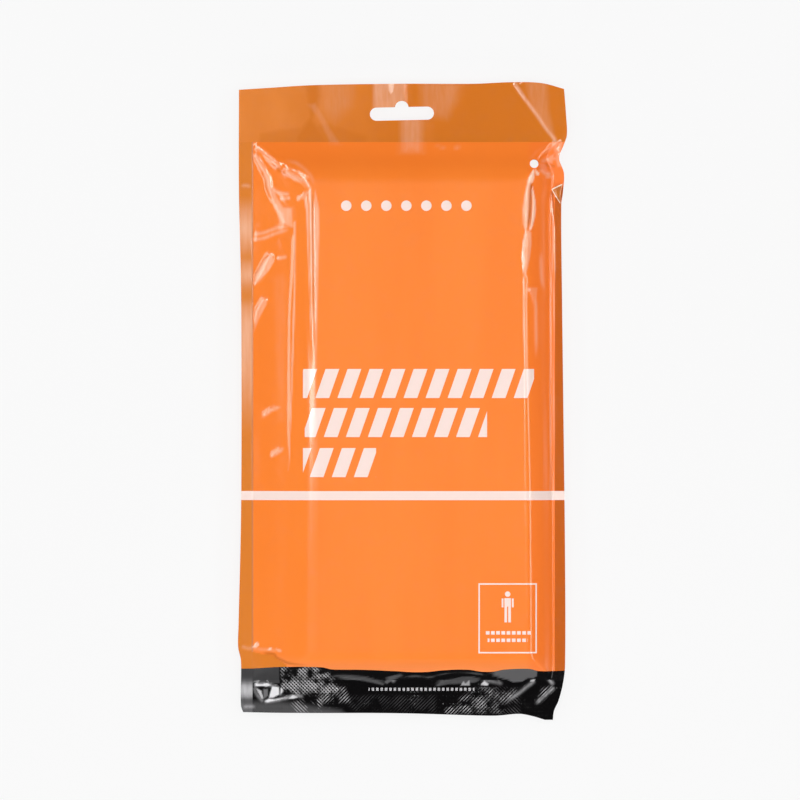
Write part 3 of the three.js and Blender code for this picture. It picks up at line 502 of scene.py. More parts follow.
# Noise of each surface: how long and how stretched its lumps are, its detail, and the two values between
# which it is hardened
Grain = namedtuple("Grain", "length stretch detail low high")
GRAINS = {
    "weld streaks": Grain(1.4, (1, 0.1, 1), 2.0, 0.25, 0.75),
    "crease streaks": Grain(1.6, (1, 0.14, 1), 2.0, 0.25, 0.75),
    "header blotch": Grain(17, (1, 0.5, 1), 2.0, 0.35, 0.65),
    "front tone": Grain(26, (1, 0.16, 1), 3.0, 0.3, 0.7),
    "broken crimp": Grain(5, (1, 1, 1), 3.0, 0.36, 0.62),
    "film scuff": Grain(4, (1, 1, 1), 4.0, 0.45, 0.75),
    "bag tone": Grain(20, (1, 1, 1), 2.0, 0.3, 0.7),
    "bag scuff": Grain(3, (1, 1, 1), 2.0, 0.4, 0.7),
    "flap tone": Grain(3, (1, 1, 1), 2.0, 0.3, 0.7),
    "floor tone": Grain(400, (1, 1, 1), 1.0, 0.2, 0.8),
}

# What a noise is multiplied by, and what is added to it
WELD_STREAKS = (0.3, 0.82)
CREASE_STREAKS = (0.4, 0.75)
FILM_ROUGHNESS = (0.05, 0.14)
BAG_ROUGHNESS = (0.1, 0.4)
FLAP_ROUGHNESS = (0.06, 0.16)

# Fine relief of each surface, and the finer grain over the film's
Bump = namedtuple("Bump", "length strength distance")
FILM_BUMP = Bump(3.4, 0.35, 0.00012)
BAG_BUMP = Bump(2.0, 0.5, 0.0002)
FLAP_BUMP = Bump(1.5, 0.4, 0.0002)
FILM_GRAIN = {"length": 0.9, "height": 0.12}

# Gloss of the two films, and which way their ripple is drawn out
ORANGE_FINISH = {"coat": 0.3, "specular": 0.5, "drawn": (1, 0.1, 1)}
BLACK_FINISH = {"coat": 0.05, "specular": 0.25, "drawn": (1, 1, 1)}
COAT_ROUGHNESS = 0.06

# Zones of painted shade and light on the front's orange, shade below the header and on the right slope
# and light above the foot: along which axis, from where to where, and how much
Zone = namedtuple("Zone", "name axis start end share colour")
PAINTED_LIGHT_ZONES = (
    Zone("below header", "y", 98, 128, 0.65, (0.98, 0.212, 0.024)),
    Zone("above foot", "y", -126, -134.5, 0.8, (1.0, 0.29, 0.085)),
    Zone("right slope", "x", 61, 66, 0.5, (0.98, 0.185, 0.03)),
)

# Colours of the films that no setting holds, and the places where they turn
HEADER_TURN = (-80, 10)
# Painted sheen: the header is lighter and pinker on its left
HEADER_LEFT_SHEEN = (0.8, 0.236, 0.034)
HEADER_RIGHT = (0.67, 0.167, 0.001)
HEADER_DARK = (0.64, 0.157, 0.002)
HEADER_BLOTCH = 0.3
RICHER_FRONT = (0.985, 0.93, 0.85)
RIGHT_WELD = (0.54, 0.106, 0.002)
RIGHT_WELD_TOP = (110, 105)
SEAM_BLEND = 0.2
SEAM = {"half": 0.45, "share": 0.55, "colour": (0.45, 0.13, 0.02), "roughness": 0.45}
SHADED = (0.4, 0.085, 0.004)
DARKER_BAG = 0.9
FLAP_LIGHT = (0.56, 0.15, 0.004)
FLAP_DARK = (0.5, 0.12, 0.003)
# Painted highlight along the flap's cut edge
FLAP_EDGE_HIGHLIGHT = (0.98, 0.8, 0.6)
FLAP_EDGE_TURN = (0.2, 0.7)

# Camera: the picture's middle and the width that it takes in, and its height in metres
PICTURE = {"x": -1.25, "y": 0.5, "z": 9.0, "width": 400.0}
CAMERA_HEIGHT = 6.0
SENSOR = 36.0

# Floor and surround: the floor's half side in metres and its greys, and how bright the surround lights the
# pouch and how bright it is seen
FLOOR = {"reach": 25.0, "dark": 0.08, "light": 0.085, "glow": 0.86}
SURROUND = {"light": 0.04, "seen": 0.93}

# Lights, in metres and watts. The side ones stand on the right and mirrored on the left.
Light = namedtuple("Light", "name place size power glossy diffuse")
LIGHTS = (
    Light("overhead", (0, 0, 1.8), (1.9, 1.9), 29.5, False, True),
    Light("foot_softbox", (0, -1.25, 0.5), (1.6, 0.3), 6.0, False, True),
)
SIDE_LIGHTS = (
    Light("strip", (0.37, 0.4, 1.2), (0.1, 0.9), 4.0, True, False),
    Light("softbox", (1.02, 0.2, 0.89), (0.2, 1.6), 5.0, True, True),
    Light("corner", (0.62, 0.66, 0.85), (0.3, 0.3), 2.5, True, False),
)


def srgb(red, green, blue):
    """A screen colour of 0 to 255 as the linear colour that materials take."""
    return tuple(
        share / 12.92 if share <= 0.04045 else ((share + 0.055) / 1.055) ** 2.4
        for share in (red / 255, green / 255, blue / 255)
    )


def tint(name, description, default):
    """A colour that a user may change."""
    return FloatVectorProperty(
        name=name, description=description, subtype="COLOR", size=3, min=0.0, max=1.0, default=default)


class PouchSettings(bpy.types.PropertyGroup):
    """Sizes and colours of the pouch that a user may change."""

    film: FloatProperty(
        name="Film", description="Thickness of one film", default=0.0003, min=0.0001, max=0.001,
        unit="LENGTH", precision=5)
    fold_depth: FloatProperty(
        name="Fold Depth", description="How deep the folds stand against their real depth",
        default=0.5, min=0.0, max=1.5, subtype="FACTOR")
    front_colour: tint("Front Print", "Orange of the front film", (0.975, 0.24, 0.031))
    weld_colour: tint("Weld", "Browner orange where two films are welded", (0.71, 0.2, 0.016))
    foot_colour: tint("Foot", "Black of the crimped foot", srgb(10, 9, 10))
    mark_colour: tint("White Print", "Off-white of the stripe and bars", srgb(246, 222, 214))
    # Pale pink of the painted highlights along creases and on pale facets of the orange film
    painted_highlight_colour: tint(
        "Painted Highlight", "Pale pink of orange film where it is creased", (1.0, 0.64, 0.47))
    # Grey of the painted reflections and highlights on the black film, and of its printed dashes
    grey_sheen_and_print_colour: tint("Grey Sheen and Print", "Silver grey of black film where it is creased", (0.75, 0.74, 0.76))
    bag_colour: tint("Folded Bag", "Orange of the bag's own sheet", srgb(244, 122, 30))


# Shape of the pouch


def along(rows, place):
    """A smooth curve through (place, value) rows, read at an array of places."""
    places, values = (np.array(column, float) for column in zip(*rows))
    slopes = np.gradient(values, places)
    slopes[1:-1] = (values[2:] - values[:-2]) / (places[2:] - places[:-2])
    here = np.clip(place, places[0], places[-1])
    index = np.clip(np.searchsorted(places, here, side="right") - 1, 0, len(places) - 2)
    span = places[index + 1] - places[index]
    t = (here - places[index]) / span
    bend = t * t * (3 - 2 * t)
    return (values[index] * (1 - bend) + values[index + 1] * bend
            + span * (slopes[index] * t * (1 - t) ** 2 - slopes[index + 1] * t * t * (1 - t)))


def ease(value):
    """0 to 1, level at both ends."""
    share = np.clip(value, 0, 1)
    return share * share * (3 - 2 * share)


def wave_height(waves, place):
    return sum(wave.height * np.cos(2 * math.pi * (place - wave.peak) / wave.length) for wave in waves)


def weld_height(x, y):
    """Height of the welds, which droop and ripple towards the two ends of the pouch."""
    head = np.maximum(0, y - HEADER_LINE)
    foot = np.maximum(0, FOOT_LINE - y)
    side = np.clip((np.abs(x) - SIDE_WAVE_START) / WAVE_REACH["side"], 0, 1)
    return (WELD_HEIGHT - HEADER_DROOP * head - FOOT_DROOP * foot
            + wave_height(HEADER_WAVES, x) * np.clip(head / WAVE_REACH["header"], 0, 1)
            + wave_height(FOOT_WAVES, x) * np.clip(foot / WAVE_REACH["foot"], 0, 1)
            + wave_height(SIDE_WAVES, y) * side)


def climb(x, y):
    """How far the film has climbed over the bag, from 0 at a weld to 1 on top."""
    side = np.minimum(
        along(LEFT_CLIMB, x - LEFT_SEAM),
        along(RIGHT_CLIMB, along(RIGHT_EDGE, y) - SIDE_WELD - x),
    )
    end = np.minimum(along(HEAD_CLIMB, HEADER_LINE - y), along(FOOT_CLIMB, y - FOOT_LINE))
    blend = np.maximum(CORNER_BLEND - np.abs(side - end), 0) / CORNER_BLEND
    corner = np.minimum(side, end) - blend * blend * CORNER_BLEND / 4
    return np.clip(corner / (1 - CORNER_BLEND / 4), 0, 1)


def crown(x, y):
    across = (x - BAG_MIDDLE["x"]) / BAG_MIDDLE["half_width"]
    down = (y - BAG_MIDDLE["y"]) / BAG_MIDDLE["half_length"]
    return CROWN * np.maximum(0, 1 - across * across) * np.maximum(0, 1 - down * down)


def smooth_route(points):
    """A route's points joined by a smooth curve."""
    if len(points) < 3:
        return np.array(points, float)
    fixed = np.array([points[0], *points, points[-1]], float)
    curve = []
    for before, start, end, after in zip(fixed, fixed[1:], fixed[2:], fixed[3:]):
        for t in np.arange(ROUTE_STEPS) / ROUTE_STEPS:
            curve.append(0.5 * (2 * start + (end - before) * t
                                + (2 * before - 5 * start + 4 * end - after) * t ** 2
                                + (3 * start - before - 3 * end + after) * t ** 3))
    curve.append(fixed[-1])
    return np.array(curve)


def beside_route(route, x, y):
    """Each place's distance from a route, above zero on its left, and its share of the way along."""
    runs = np.diff(route, axis=0)
    lengths = np.hypot(*runs.T)
    starts = np.concatenate(([0], np.cumsum(lengths)))
    nearest = np.full(x.shape, np.inf)
    signed = np.zeros(x.shape)
    share = np.zeros(x.shape)
    for (start_x, start_y), (run_x, run_y), length, start in zip(route, runs, lengths, starts):
        off_x = x - start_x
        off_y = y - start_y
        t = np.clip((off_x * run_x + off_y * run_y) / length ** 2, 0, 1)
        away = np.hypot(off_x - t * run_x, off_y - t * run_y)
        closer = away < nearest
        nearest = np.where(closer, away, nearest)
        side = np.sign(run_x * off_y - run_y * off_x)
        signed = np.where(closer, away * side, signed)
        share = np.where(closer, (start + t * length) / starts[-1], share)
    return signed, share


def inside_box(points, x, y, margin=0):
    """Which places lie in the box around some points."""
    low, high = points.min(axis=0) - margin, points.max(axis=0) + margin
    return (x > low[0]) & (x < high[0]) & (y > low[1]) & (y < high[1])


def fold_relief(x, y):
    """Height that the folds add to the film, with their lines of painted highlight and painted shade."""
    height = np.zeros(x.shape)
    pale = np.zeros(x.shape)
    shade = np.zeros(x.shape)
    for fold in FOLDS:
        route = smooth_route(fold.route)
        reach = max(fold.left, fold.right) * FOLD_REACH
        near = inside_box(route, x, y, reach)
        if not near.any():
            continue
        signed, share = beside_route(route, x[near], y[near])
        grown = ease(share / fold.fade[0]) * ease((1 - share) / fold.fade[1])
        away = np.sqrt(signed ** 2 + fold.crest ** 2) - fold.crest
        rest = 1 - away / np.where(signed > 0, fold.left, fold.right)
        height[near] += fold.height * grown * (rest + np.sqrt(rest ** 2 + FOLD_FOOT)) / 2
        mark = fold.mark * grown
        pale[near] = np.maximum(pale[near], mark * np.exp(-(signed / PALE_LINE) ** 2))
        shade[near] = np.maximum(shade[near], -mark * np.exp(-(signed / SHADED_LINE) ** 2))
    return height, pale, shade


def patch_strength(x, y):
    """How strong the crumpled film is at each place."""
    total = np.zeros(x.shape)
    for patch in PATCHES:
        across = ease((patch.half_width - np.abs(x - patch.x)) / patch.edge + 1)
        down = ease((patch.half_length - np.abs(y - patch.y)) / patch.edge + 1)
        total = np.maximum(total, patch.strength * across * down)
    return total


def crumple_relief(x, y):
    """Flat facets of crumpled film."""
    turn = 2 * math.pi / WARP["length"]
    bend = WARP["bend"] * np.sin(x * turn * WARP["bend_rate"])
    warped_x = x + WARP["reach"] * np.sin(y * turn + bend)
    warped_y = y + WARP["reach"] * np.sin(x * turn * WARP["cross_rate"] + WARP["cross_start"])
    total = np.zeros(x.shape)
    for row in CRUMPLE:
        angle = math.radians(row.angle)
        phase = (warped_x * math.cos(angle) + warped_y * math.sin(angle)) / row.length
        total += row.height * (2 * np.abs(phase % 1 - 0.5) - 0.5)
    return total * patch_strength(x, y)


def facet_relief(facets, x, y):
    """Height and tone that flat facets add, from none at their outlines."""
    height = np.zeros(x.shape)
    tone = np.zeros(x.shape)
    for facet in facets:
        corners = np.array(facet.corners, float)
        near = inside_box(corners, x, y)
        here_x, here_y = x[near], y[near]
        inside = np.zeros(here_x.shape, bool)
        for (from_x, from_y), (to_x, to_y) in zip(corners, np.roll(corners, -1, axis=0)):
            if from_y == to_y:
                continue
            crosses = (from_y > here_y) != (to_y > here_y)
            inside ^= crosses & (here_x < (to_x - from_x) * (here_y - from_y) / (to_y - from_y) + from_x)
        signed, _ = beside_route(np.concatenate((corners, corners[:1])), here_x, here_y)
        depth = np.abs(signed) * inside / facet.edge
        height[near] += facet.lift * np.clip(depth, 0, 1)
        tone[near] = np.maximum(tone[near], facet.share * ease(depth))
    return height, tone


def relief(x, y, depth):
    """Height of every fold and facet, and the film's tones, most of them painted highlight, sheen and
    shade.
    """
    height, pale, shade = fold_relief(x, y)
    # Painted shade along the fold valleys, and painted sheen along the left weld
    tones = {"shade": shade, "bloom": along(WELD_PAINTED_SHEEN, y)}
    for name, facets in TONES.items():
        lift, tones[name] = facet_relief(facets, x, y)
        height = height + lift
    tones["pale"] = np.maximum(pale, tones["pale"])
    return depth * (height + crumple_relief(x, y)), tones


# Meshes


def grid_lines(start, spans):
    lines = [start]
    for to, step in spans:
        count = max(1, round((to - lines[-1]) / step))
        lines.extend(np.linspace(lines[-1], to, count + 1)[1:])
    return np.array(lines)


def place_across(column, y):
    """A nominal column moved out to the cut edges."""
    left = np.clip(1 - (column + NOMINAL_EDGE) / EDGE_BLEND, 0, 1)
    right = np.clip(1 - (NOMINAL_EDGE - column) / EDGE_BLEND, 0, 1)
    return (column + left * (along(LEFT_EDGE, y) + NOMINAL_EDGE)
            + right * (along(RIGHT_EDGE, y) - NOMINAL_EDGE))


def film_places(columns, rows):
    """A film's grid: straight rows from the foot line to the header line."""
    column, y = np.meshgrid(grid_lines(columns[0], columns[1:]), grid_lines(FOOT_LINE, rows))
    return place_across(column, y), y


def strip_places(line, edge):
    """A welded strip's grid: rows from the films' line out to the cut edge."""
    lines = grid_lines(STRIP_COLUMNS[0], STRIP_COLUMNS[1:])
    far = along(edge, lines)
    bands = round(abs(far.mean() - line) / STRIP_STEP)
    share = np.linspace(0, 1, bands + 1)[:, None]
    y = line + (far - line) * share
    column = np.broadcast_to(lines, y.shape)
    if line < 0:
        column, y = column[::-1], y[::-1]
    return place_across(column, y), y


def under(surface, x, y, thickness):
    """The lower side of a sheet, its thickness kept where the sheet slopes."""
    rise_y = np.gradient(surface, axis=0) / np.gradient(y, axis=0)
    rise_x = np.gradient(surface, axis=1) / np.gradient(x, axis=1)
    return surface - thickness * np.minimum(STEEPEST_FILM, np.sqrt(1 + rise_x ** 2 + rise_y ** 2))


def linked(name, points, faces):
    """A new piece in the scene, from its points in metres and its faces."""
    mesh = bpy.data.meshes.new(name)
    mesh.from_pydata(points, [], faces)
    piece = bpy.data.objects.new(name, mesh)
    bpy.context.scene.collection.objects.link(piece)
    return piece


def closed_sheet(name, x, y, low, high, tones):
    """A closed mesh between a low and a high surface over one grid of places."""
    rows, columns = x.shape
    count = rows * columns
    index = np.arange(count).reshape(rows, columns)
    quads = np.stack((index[:-1, :-1], index[:-1, 1:], index[1:, 1:], index[1:, :-1]), axis=-1)
    quads = quads.reshape(-1, 4)
    rim = np.concatenate((index[0, :-1], index[:-1, -1], index[-1, :0:-1], index[:0:-1, 0]))
    after = np.roll(rim, -1)
    walls = np.stack((rim, after, after + count, rim + count), axis=-1)
    faces = np.concatenate((quads[:, ::-1], quads + count, walls))
    points = np.concatenate([
        np.stack((x, y, level), axis=-1).reshape(-1, 3) for level in (low, high)
    ]) * MM
    piece = linked(name, points.tolist(), faces.tolist())
    for tone, values in tones.items():
        attribute = piece.data.attributes.new(tone, "FLOAT", "POINT")
        both_sides = np.concatenate((values.ravel() * 0, values.ravel()))
        attribute.data.foreach_set("value", both_sides.astype("f"))
    return piece


def turn_outwards(piece):
    """Faces of a closed piece turned so that they point out."""
    mesh = bmesh.new()
    mesh.from_mesh(piece.data)
    bmesh.ops.recalc_face_normals(mesh, faces=mesh.faces)
    mesh.to_mesh(piece.data)
    mesh.free()


def finish_mesh(piece, material):
    """Smooth faces with sharp cut edges, and one material."""
    piece.data.shade_smooth()
    piece.data.set_sharp_from_angle(angle=math.radians(SHARP_EDGE))
    piece.data.materials.clear()
    piece.data.materials.append(material)


def extruded(name, outline):
    """A tall closed cutter over an outline in the plan."""
    count = len(outline)
    points = [(x * MM, y * MM, side * PUNCH_DEPTH / 2 * MM) for side in (-1, 1) for x, y in outline]
    faces = [list(range(count))[::-1], list(range(count, 2 * count))]
    for index in range(count):
        after = (index + 1) % count
        faces.append([index, after, after + count, index + count])
    return linked(name, points, faces)


def arc(centre_x, centre_y, radius, start, end, steps=ARC_STEPS):
    return [
        (centre_x + radius * math.cos(turn), centre_y + radius * math.sin(turn))
        for turn in np.linspace(start, end, steps)
    ]


def slot_outline():
    """A bar with round ends and a round bump in the middle of its upper side."""
    end = SLOT["width"] / 2
    straight = SLOT["length"] / 2 - end
    bump_middle = end + SLOT["lift"] - SLOT["bump"]
    start = math.asin((end - bump_middle) / SLOT["bump"])
    outline = arc(straight, 0, end, -math.pi / 2, math.pi / 2)
    outline += arc(0, bump_middle, SLOT["bump"], start, math.pi - start)
    outline += arc(-straight, 0, end, math.pi / 2, math.pi * 1.5)
    tilt = math.radians(SLOT["tilt"])
    across, up = math.cos(tilt), math.sin(tilt)
    return [(SLOT["x"] + x * across - y * up, SLOT["y"] + x * up + y * across) for x, y in outline]


def vent_outline():
    return arc(VENT["x"], VENT["y"], VENT["radius"], 0, 2 * math.pi, ARC_STEPS + 1)[:-1]


def settle(piece):
    """The piece's modifiers turned into its own mesh."""
    graph = bpy.context.evaluated_depsgraph_get()
    settled = bpy.data.meshes.new_from_object(piece.evaluated_get(graph), depsgraph=graph)
    settled.name = piece.name
    piece.modifiers.clear()
    piece.data = settled


def punch(piece, outline):
    cutter = extruded("cutter", outline)
    cut = piece.modifiers.new("Punch", "BOOLEAN")
    cut.operation = "DIFFERENCE"
    cut.solver = "EXACT"
    cut.object = cutter
    settle(piece)
    bpy.data.objects.remove(cutter)


# Materials


class Tree:
    """Short calls that add and link the nodes of one tree."""

    def __init__(self, tree):
        self.tree = tree

    def add(self, kind, inputs=(), **settings):
        node = self.tree.nodes.new(kind)
        for key, value in settings.items():
            setattr(node, key, value)
        for socket, value in dict(inputs).items():
            self.feed(node.inputs[socket], value)
        return node

    def feed(self, socket, value):
        if isinstance(value, bpy.types.NodeSocket):
            self.tree.links.new(value, socket)
        else:
            socket.default_value = value

    def math(self, operation, first, second=0.0, third=0.0):
        inputs = {0: first, 1: second, 2: third}
        return self.add("ShaderNodeMath", inputs, operation=operation).outputs[0]

    def product(self, first, second):
        return self.math("MULTIPLY", first, second)

    def rest(self, share):
        """What is left of one."""
        return self.math("SUBTRACT", 1.0, share)


class Finish(Tree):
    """The nodes of one material, with the place on the pouch in millimetres."""

    def __init__(self, name):
        self.material = bpy.data.materials.new(name)
        self.material.use_nodes = True
        super().__init__(self.material.node_tree)
        self.shader = self.tree.nodes["Principled BSDF"]
        place = self.add("ShaderNodeTexCoord").outputs["Object"]
        scaled = self.add("ShaderNodeVectorMath", {0: place, "Scale": 1 / MM}, operation="SCALE").outputs[0]
        split = self.add("ShaderNodeSeparateXYZ", {0: scaled})
        self.place, self.x, self.y = scaled, split.outputs[0], split.outputs[1]

    def surface(self, **values):
        """The shader's values, named as its sockets are with low lines for spaces."""
        for name, value in values.items():
            self.feed(self.shader.inputs[name.replace("_", " ")], value)

    def bump(self, height, row):
        inputs = {"Height": height, "Strength": row.strength, "Distance": row.distance}
        self.surface(Normal=self.add("ShaderNodeBump", inputs).outputs[0])

    def mix(self, share, first, second):
        first, second = (
            value if isinstance(value, bpy.types.NodeSocket) else (*value, 1.0) for value in (first, second)
        )
        node = self.add("ShaderNodeMix", {0: share, 6: first, 7: second}, data_type="RGBA")
        return node.outputs[2]

    def step(self, value, start, end):
        node = self.add("ShaderNodeMapRange", {0: value, 1: start, 2: end}, interpolation_type="SMOOTHSTEP")
        return node.outputs[0]

    def tone(self, name):
        """A tone that the mesh holds for each of its points."""
        return self.add("ShaderNodeAttribute", attribute_name=name).outputs["Fac"]

    def noise(self, length, stretch=(1, 1, 1), detail=2.0):
        """Smooth noise whose lumps are about length millimetres across."""
        scale = tuple(axis / length for axis in stretch)
        place = self.add("ShaderNodeMapping", {"Vector": self.place, "Scale": scale}).outputs[0]
        return self.add("ShaderNodeTexNoise", {"Vector": place, "Scale": 1.0, "Detail": detail}).outputs[0]

    def grain(self, name):
        """Noise from the table, hardened between its low and its high."""
        row = GRAINS[name]
        return self.step(self.noise(row.length, row.stretch, row.detail), row.low, row.high)

    def rectangle(self, row):
        """1 inside a rectangle of the plan."""
        middle = ((row.left + row.right) / 2, (row.low + row.high) / 2)
        half = ((row.right - row.left) / 2, (row.high - row.low) / 2)
        across = self.math("COMPARE", self.x, middle[0], half[0])
        down = self.math("COMPARE", self.y, middle[1], half[1])
        return self.product(across, down)

    def circle(self, x, y, radius):
        off_x = self.math("SUBTRACT", self.x, x)
        off_y = self.math("SUBTRACT", self.y, y)
        squared = self.math("MULTIPLY_ADD", off_x, off_x, self.product(off_y, off_y))
        return self.math("LESS_THAN", squared, radius ** 2)

    def repeats(self, place, row):
        """1 on a share of every pitch."""
        run = self.math("FLOORED_MODULO", place, row["pitch"])
        return self.math("LESS_THAN", run, row["pitch"] * row["share"])

    def union(self, masks):
        total = masks[0]
        for mask in masks[1:]:
            total = self.math("MAXIMUM", total, mask)
        return total


def front_print(nodes):
    """Mask of the white print on the front."""
    stripe = nodes.math("COMPARE", nodes.y, STRIPE["y"], STRIPE["half"])
    slanted = nodes.math("MULTIPLY_ADD", nodes.y, -BAR["slant"], nodes.x)
    bars = nodes.product(
        nodes.union([nodes.rectangle(row) for row in BAR_ROWS]),
        nodes.repeats(slanted, BAR),
    )
    dots = [
        nodes.circle(x, DOTS["y"], DOTS["radius"])
        for x in np.arange(DOTS["left"] + DOTS["radius"], DOTS["right"], DOTS["pitch"])
    ]
    box_outer, box_inner = (
        nodes.rectangle(Row(
            BOX["x"] - BOX["half_width"] + inset, BOX["x"] + BOX["half_width"] - inset,
            BOX["y"] - BOX["half_height"] + inset, BOX["y"] + BOX["half_height"] - inset,
        ))
        for inset in (0, BOX["line"])
    )
    box = nodes.math("SUBTRACT", box_outer, box_inner)
    figure = [nodes.rectangle(row) for row in FIGURE]
    figure.append(nodes.circle(FIGURE_HEAD["x"], FIGURE_HEAD["y"], FIGURE_HEAD["radius"]))
    rules = nodes.product(
        nodes.union([nodes.rectangle(row) for row in RULES]),
        nodes.repeats(nodes.x, RULE_DASH),
    )
    return nodes.union([stripe, bars, *dots, box, *figure, rules])


def black_mask(nodes):
    """1 where the film is printed black, below the foot's wavy line."""
    curve = nodes.add("ShaderNodeFloatCurve")
    left, right = BLACK_EDGE[0][0], BLACK_EDGE[-1][0]
    low, high = BLACK_RANGE
    points = curve.mapping.curves[0].points
    while len(points) < len(BLACK_EDGE):
        points.new(0.5, 0.5)
    for point, (x, y) in zip(points, BLACK_EDGE):
        point.location = ((x - left) / (right - left), (y - low) / (high - low))
    curve.mapping.update()
    share = nodes.math("DIVIDE", nodes.math("SUBTRACT", nodes.x, left), right - left)
    nodes.feed(curve.inputs["Value"], share)
    edge = nodes.math("MULTIPLY_ADD", curve.outputs[0], high - low, low)
    return nodes.math("LESS_THAN", nodes.y, edge)


def left_weld(nodes):
    """1 on the left weld."""
    return nodes.step(nodes.x, LEFT_SEAM + SEAM_BLEND, LEFT_SEAM - SEAM_BLEND)


def weld_painted_sheen(nodes):
    """Painted sheen on the left weld, broken into streaks."""
    streaks = nodes.math("MULTIPLY_ADD", nodes.grain("weld streaks"), *WELD_STREAKS)
    return nodes.product(nodes.product(nodes.tone("bloom"), left_weld(nodes)), streaks)


def painted_crease_highlight(nodes):
    """Painted highlight along the creases and on the pale facets, broken along their length."""
    streaks = nodes.math("MULTIPLY_ADD", nodes.grain("crease streaks"), *CREASE_STREAKS)
    return nodes.product(nodes.tone("pale"), streaks)


def black_print(nodes, settings):
    """Black film: painted grey reflection where it lies smooth, and painted highlights along the lines of
    its crimp.
    """
    grey = tuple(settings.grey_sheen_and_print_colour)
    # Painted grey reflection on the foot's smooth patches
    colour = nodes.mix(nodes.tone("foot_sheen_header_dark"), tuple(settings.foot_colour), grey)
    # Painted sheen on the left weld
    colour = nodes.mix(weld_painted_sheen(nodes), colour, grey)
    # Painted highlights along the crimp's two directions
    lattice = 0.0
    stray = nodes.math("MULTIPLY_ADD", nodes.noise(CRIMP["wander"], detail=3.0), CRIMP["stray"], nodes.x)
    for tone, side in (("rising", -1), ("falling", 1)):
        line = nodes.repeats(nodes.math("MULTIPLY_ADD", nodes.y, side, stray), CRIMP)
        lattice = nodes.math("MAXIMUM", nodes.product(line, nodes.tone(tone)), lattice)
    return nodes.mix(nodes.product(lattice, nodes.grain("broken crimp")), colour, grey)


def foot_colour(nodes, settings):
    """Black film with its row of printed dashes and the painted highlights of its creases."""
    sheen_and_print_grey = tuple(settings.grey_sheen_and_print_colour)
    dashes = nodes.product(nodes.rectangle(FOOT_RULE), nodes.repeats(nodes.x, FOOT_DASH))
    colour = nodes.mix(nodes.product(dashes, FOOT_DASH["strength"]), black_print(nodes, settings), sheen_and_print_grey)
    # Painted highlights along the creases
    return nodes.mix(painted_crease_highlight(nodes), colour, sheen_and_print_grey)


def header_colour(nodes, settings):
    """Welded film, lighter on the left with a painted sheen, with darker patches and the painted highlights
    of its creases.
    """
    # Painted sheen, lighter on the left
    colour = nodes.mix(nodes.step(nodes.x, *HEADER_TURN), HEADER_LEFT_SHEEN, HEADER_RIGHT)
    blotch = nodes.product(nodes.grain("header blotch"), HEADER_BLOTCH)
    dark = nodes.math("MAXIMUM", blotch, nodes.tone("foot_sheen_header_dark"))
    colour = nodes.mix(dark, colour, HEADER_DARK)
    return nodes.mix(painted_crease_highlight(nodes), colour, tuple(settings.painted_highlight_colour))


def front_colour(nodes, settings, printed):
    """Orange film with its welds, print, zones of painted shade and light, painted highlights and shade
    along its creases, and its black foot, and the mask of its left seam.
    """
    front = tuple(settings.front_colour)
    highlight_pink = tuple(settings.painted_highlight_colour)
    richer = tuple(share * gain for share, gain in zip(front, RICHER_FRONT))
    colour = nodes.mix(nodes.grain("front tone"), front, richer)
    # Painted shade below the header and on the right slope, painted light above the foot
    for zone in PAINTED_LIGHT_ZONES:
        mask = nodes.step(getattr(nodes, zone.axis), zone.start, zone.end)
        colour = nodes.mix(nodes.product(mask, zone.share), colour, zone.colour)
    flat = nodes.tone("welded")
    colour = nodes.mix(nodes.math("MAXIMUM", left_weld(nodes), flat), colour, tuple(settings.weld_colour))
    # Painted sheen on the left weld
    colour = nodes.mix(weld_painted_sheen(nodes), colour, highlight_pink)
    right = nodes.step(nodes.x, RIGHT_SEAM - SEAM_BLEND, RIGHT_SEAM + SEAM_BLEND)
    colour = nodes.mix(nodes.product(right, nodes.step(nodes.y, *RIGHT_WELD_TOP)), colour, RIGHT_WELD)
    seam = nodes.product(nodes.math("COMPARE", nodes.x, LEFT_SEAM, SEAM["half"]), nodes.rest(flat))
    colour = nodes.mix(nodes.product(seam, SEAM["share"]), colour, SEAM["colour"])
    if printed:
        colour = nodes.mix(front_print(nodes), colour, tuple(settings.mark_colour))
    # Painted highlights along creases and pale facets, then painted shade along fold valleys
    colour = nodes.mix(painted_crease_highlight(nodes), colour, highlight_pink)
    colour = nodes.mix(nodes.tone("shade"), colour, SHADED)
    black = black_mask(nodes)
    return nodes.mix(black, colour, black_print(nodes, settings)), nodes.product(seam, nodes.rest(black))


def film_finish(nodes, colour, finish, seam=0.0):
    """Glossy film with fine scuffs and ripple, duller along a seam."""
    roughness = nodes.math("MULTIPLY_ADD", nodes.grain("film scuff"), *FILM_ROUGHNESS)
    nodes.surface(
        Base_Color=colour,
        Roughness=nodes.math("MULTIPLY_ADD", seam, SEAM["roughness"], roughness),
        Coat_Weight=finish["coat"],
        Coat_Roughness=COAT_ROUGHNESS,
        Specular_IOR_Level=finish["specular"],
    )
    drawn = nodes.noise(FILM_BUMP.length, finish["drawn"])
    grain = nodes.noise(FILM_GRAIN["length"])
    nodes.bump(nodes.math("MULTIPLY_ADD", grain, FILM_GRAIN["height"], drawn), FILM_BUMP)
    return nodes.material


def bag_material(settings):
    """Soft orange sheet with a faint ripple."""
    nodes = Finish("bag_sheet")
    colour = tuple(settings.bag_colour)
    darker = tuple(share * DARKER_BAG for share in colour)
    nodes.surface(
        Base_Color=nodes.mix(nodes.grain("bag tone"), colour, darker),
        Roughness=nodes.math("MULTIPLY_ADD", nodes.grain("bag scuff"), *BAG_ROUGHNESS),
    )
    nodes.bump(nodes.noise(BAG_BUMP.length), BAG_BUMP)
    return nodes.material


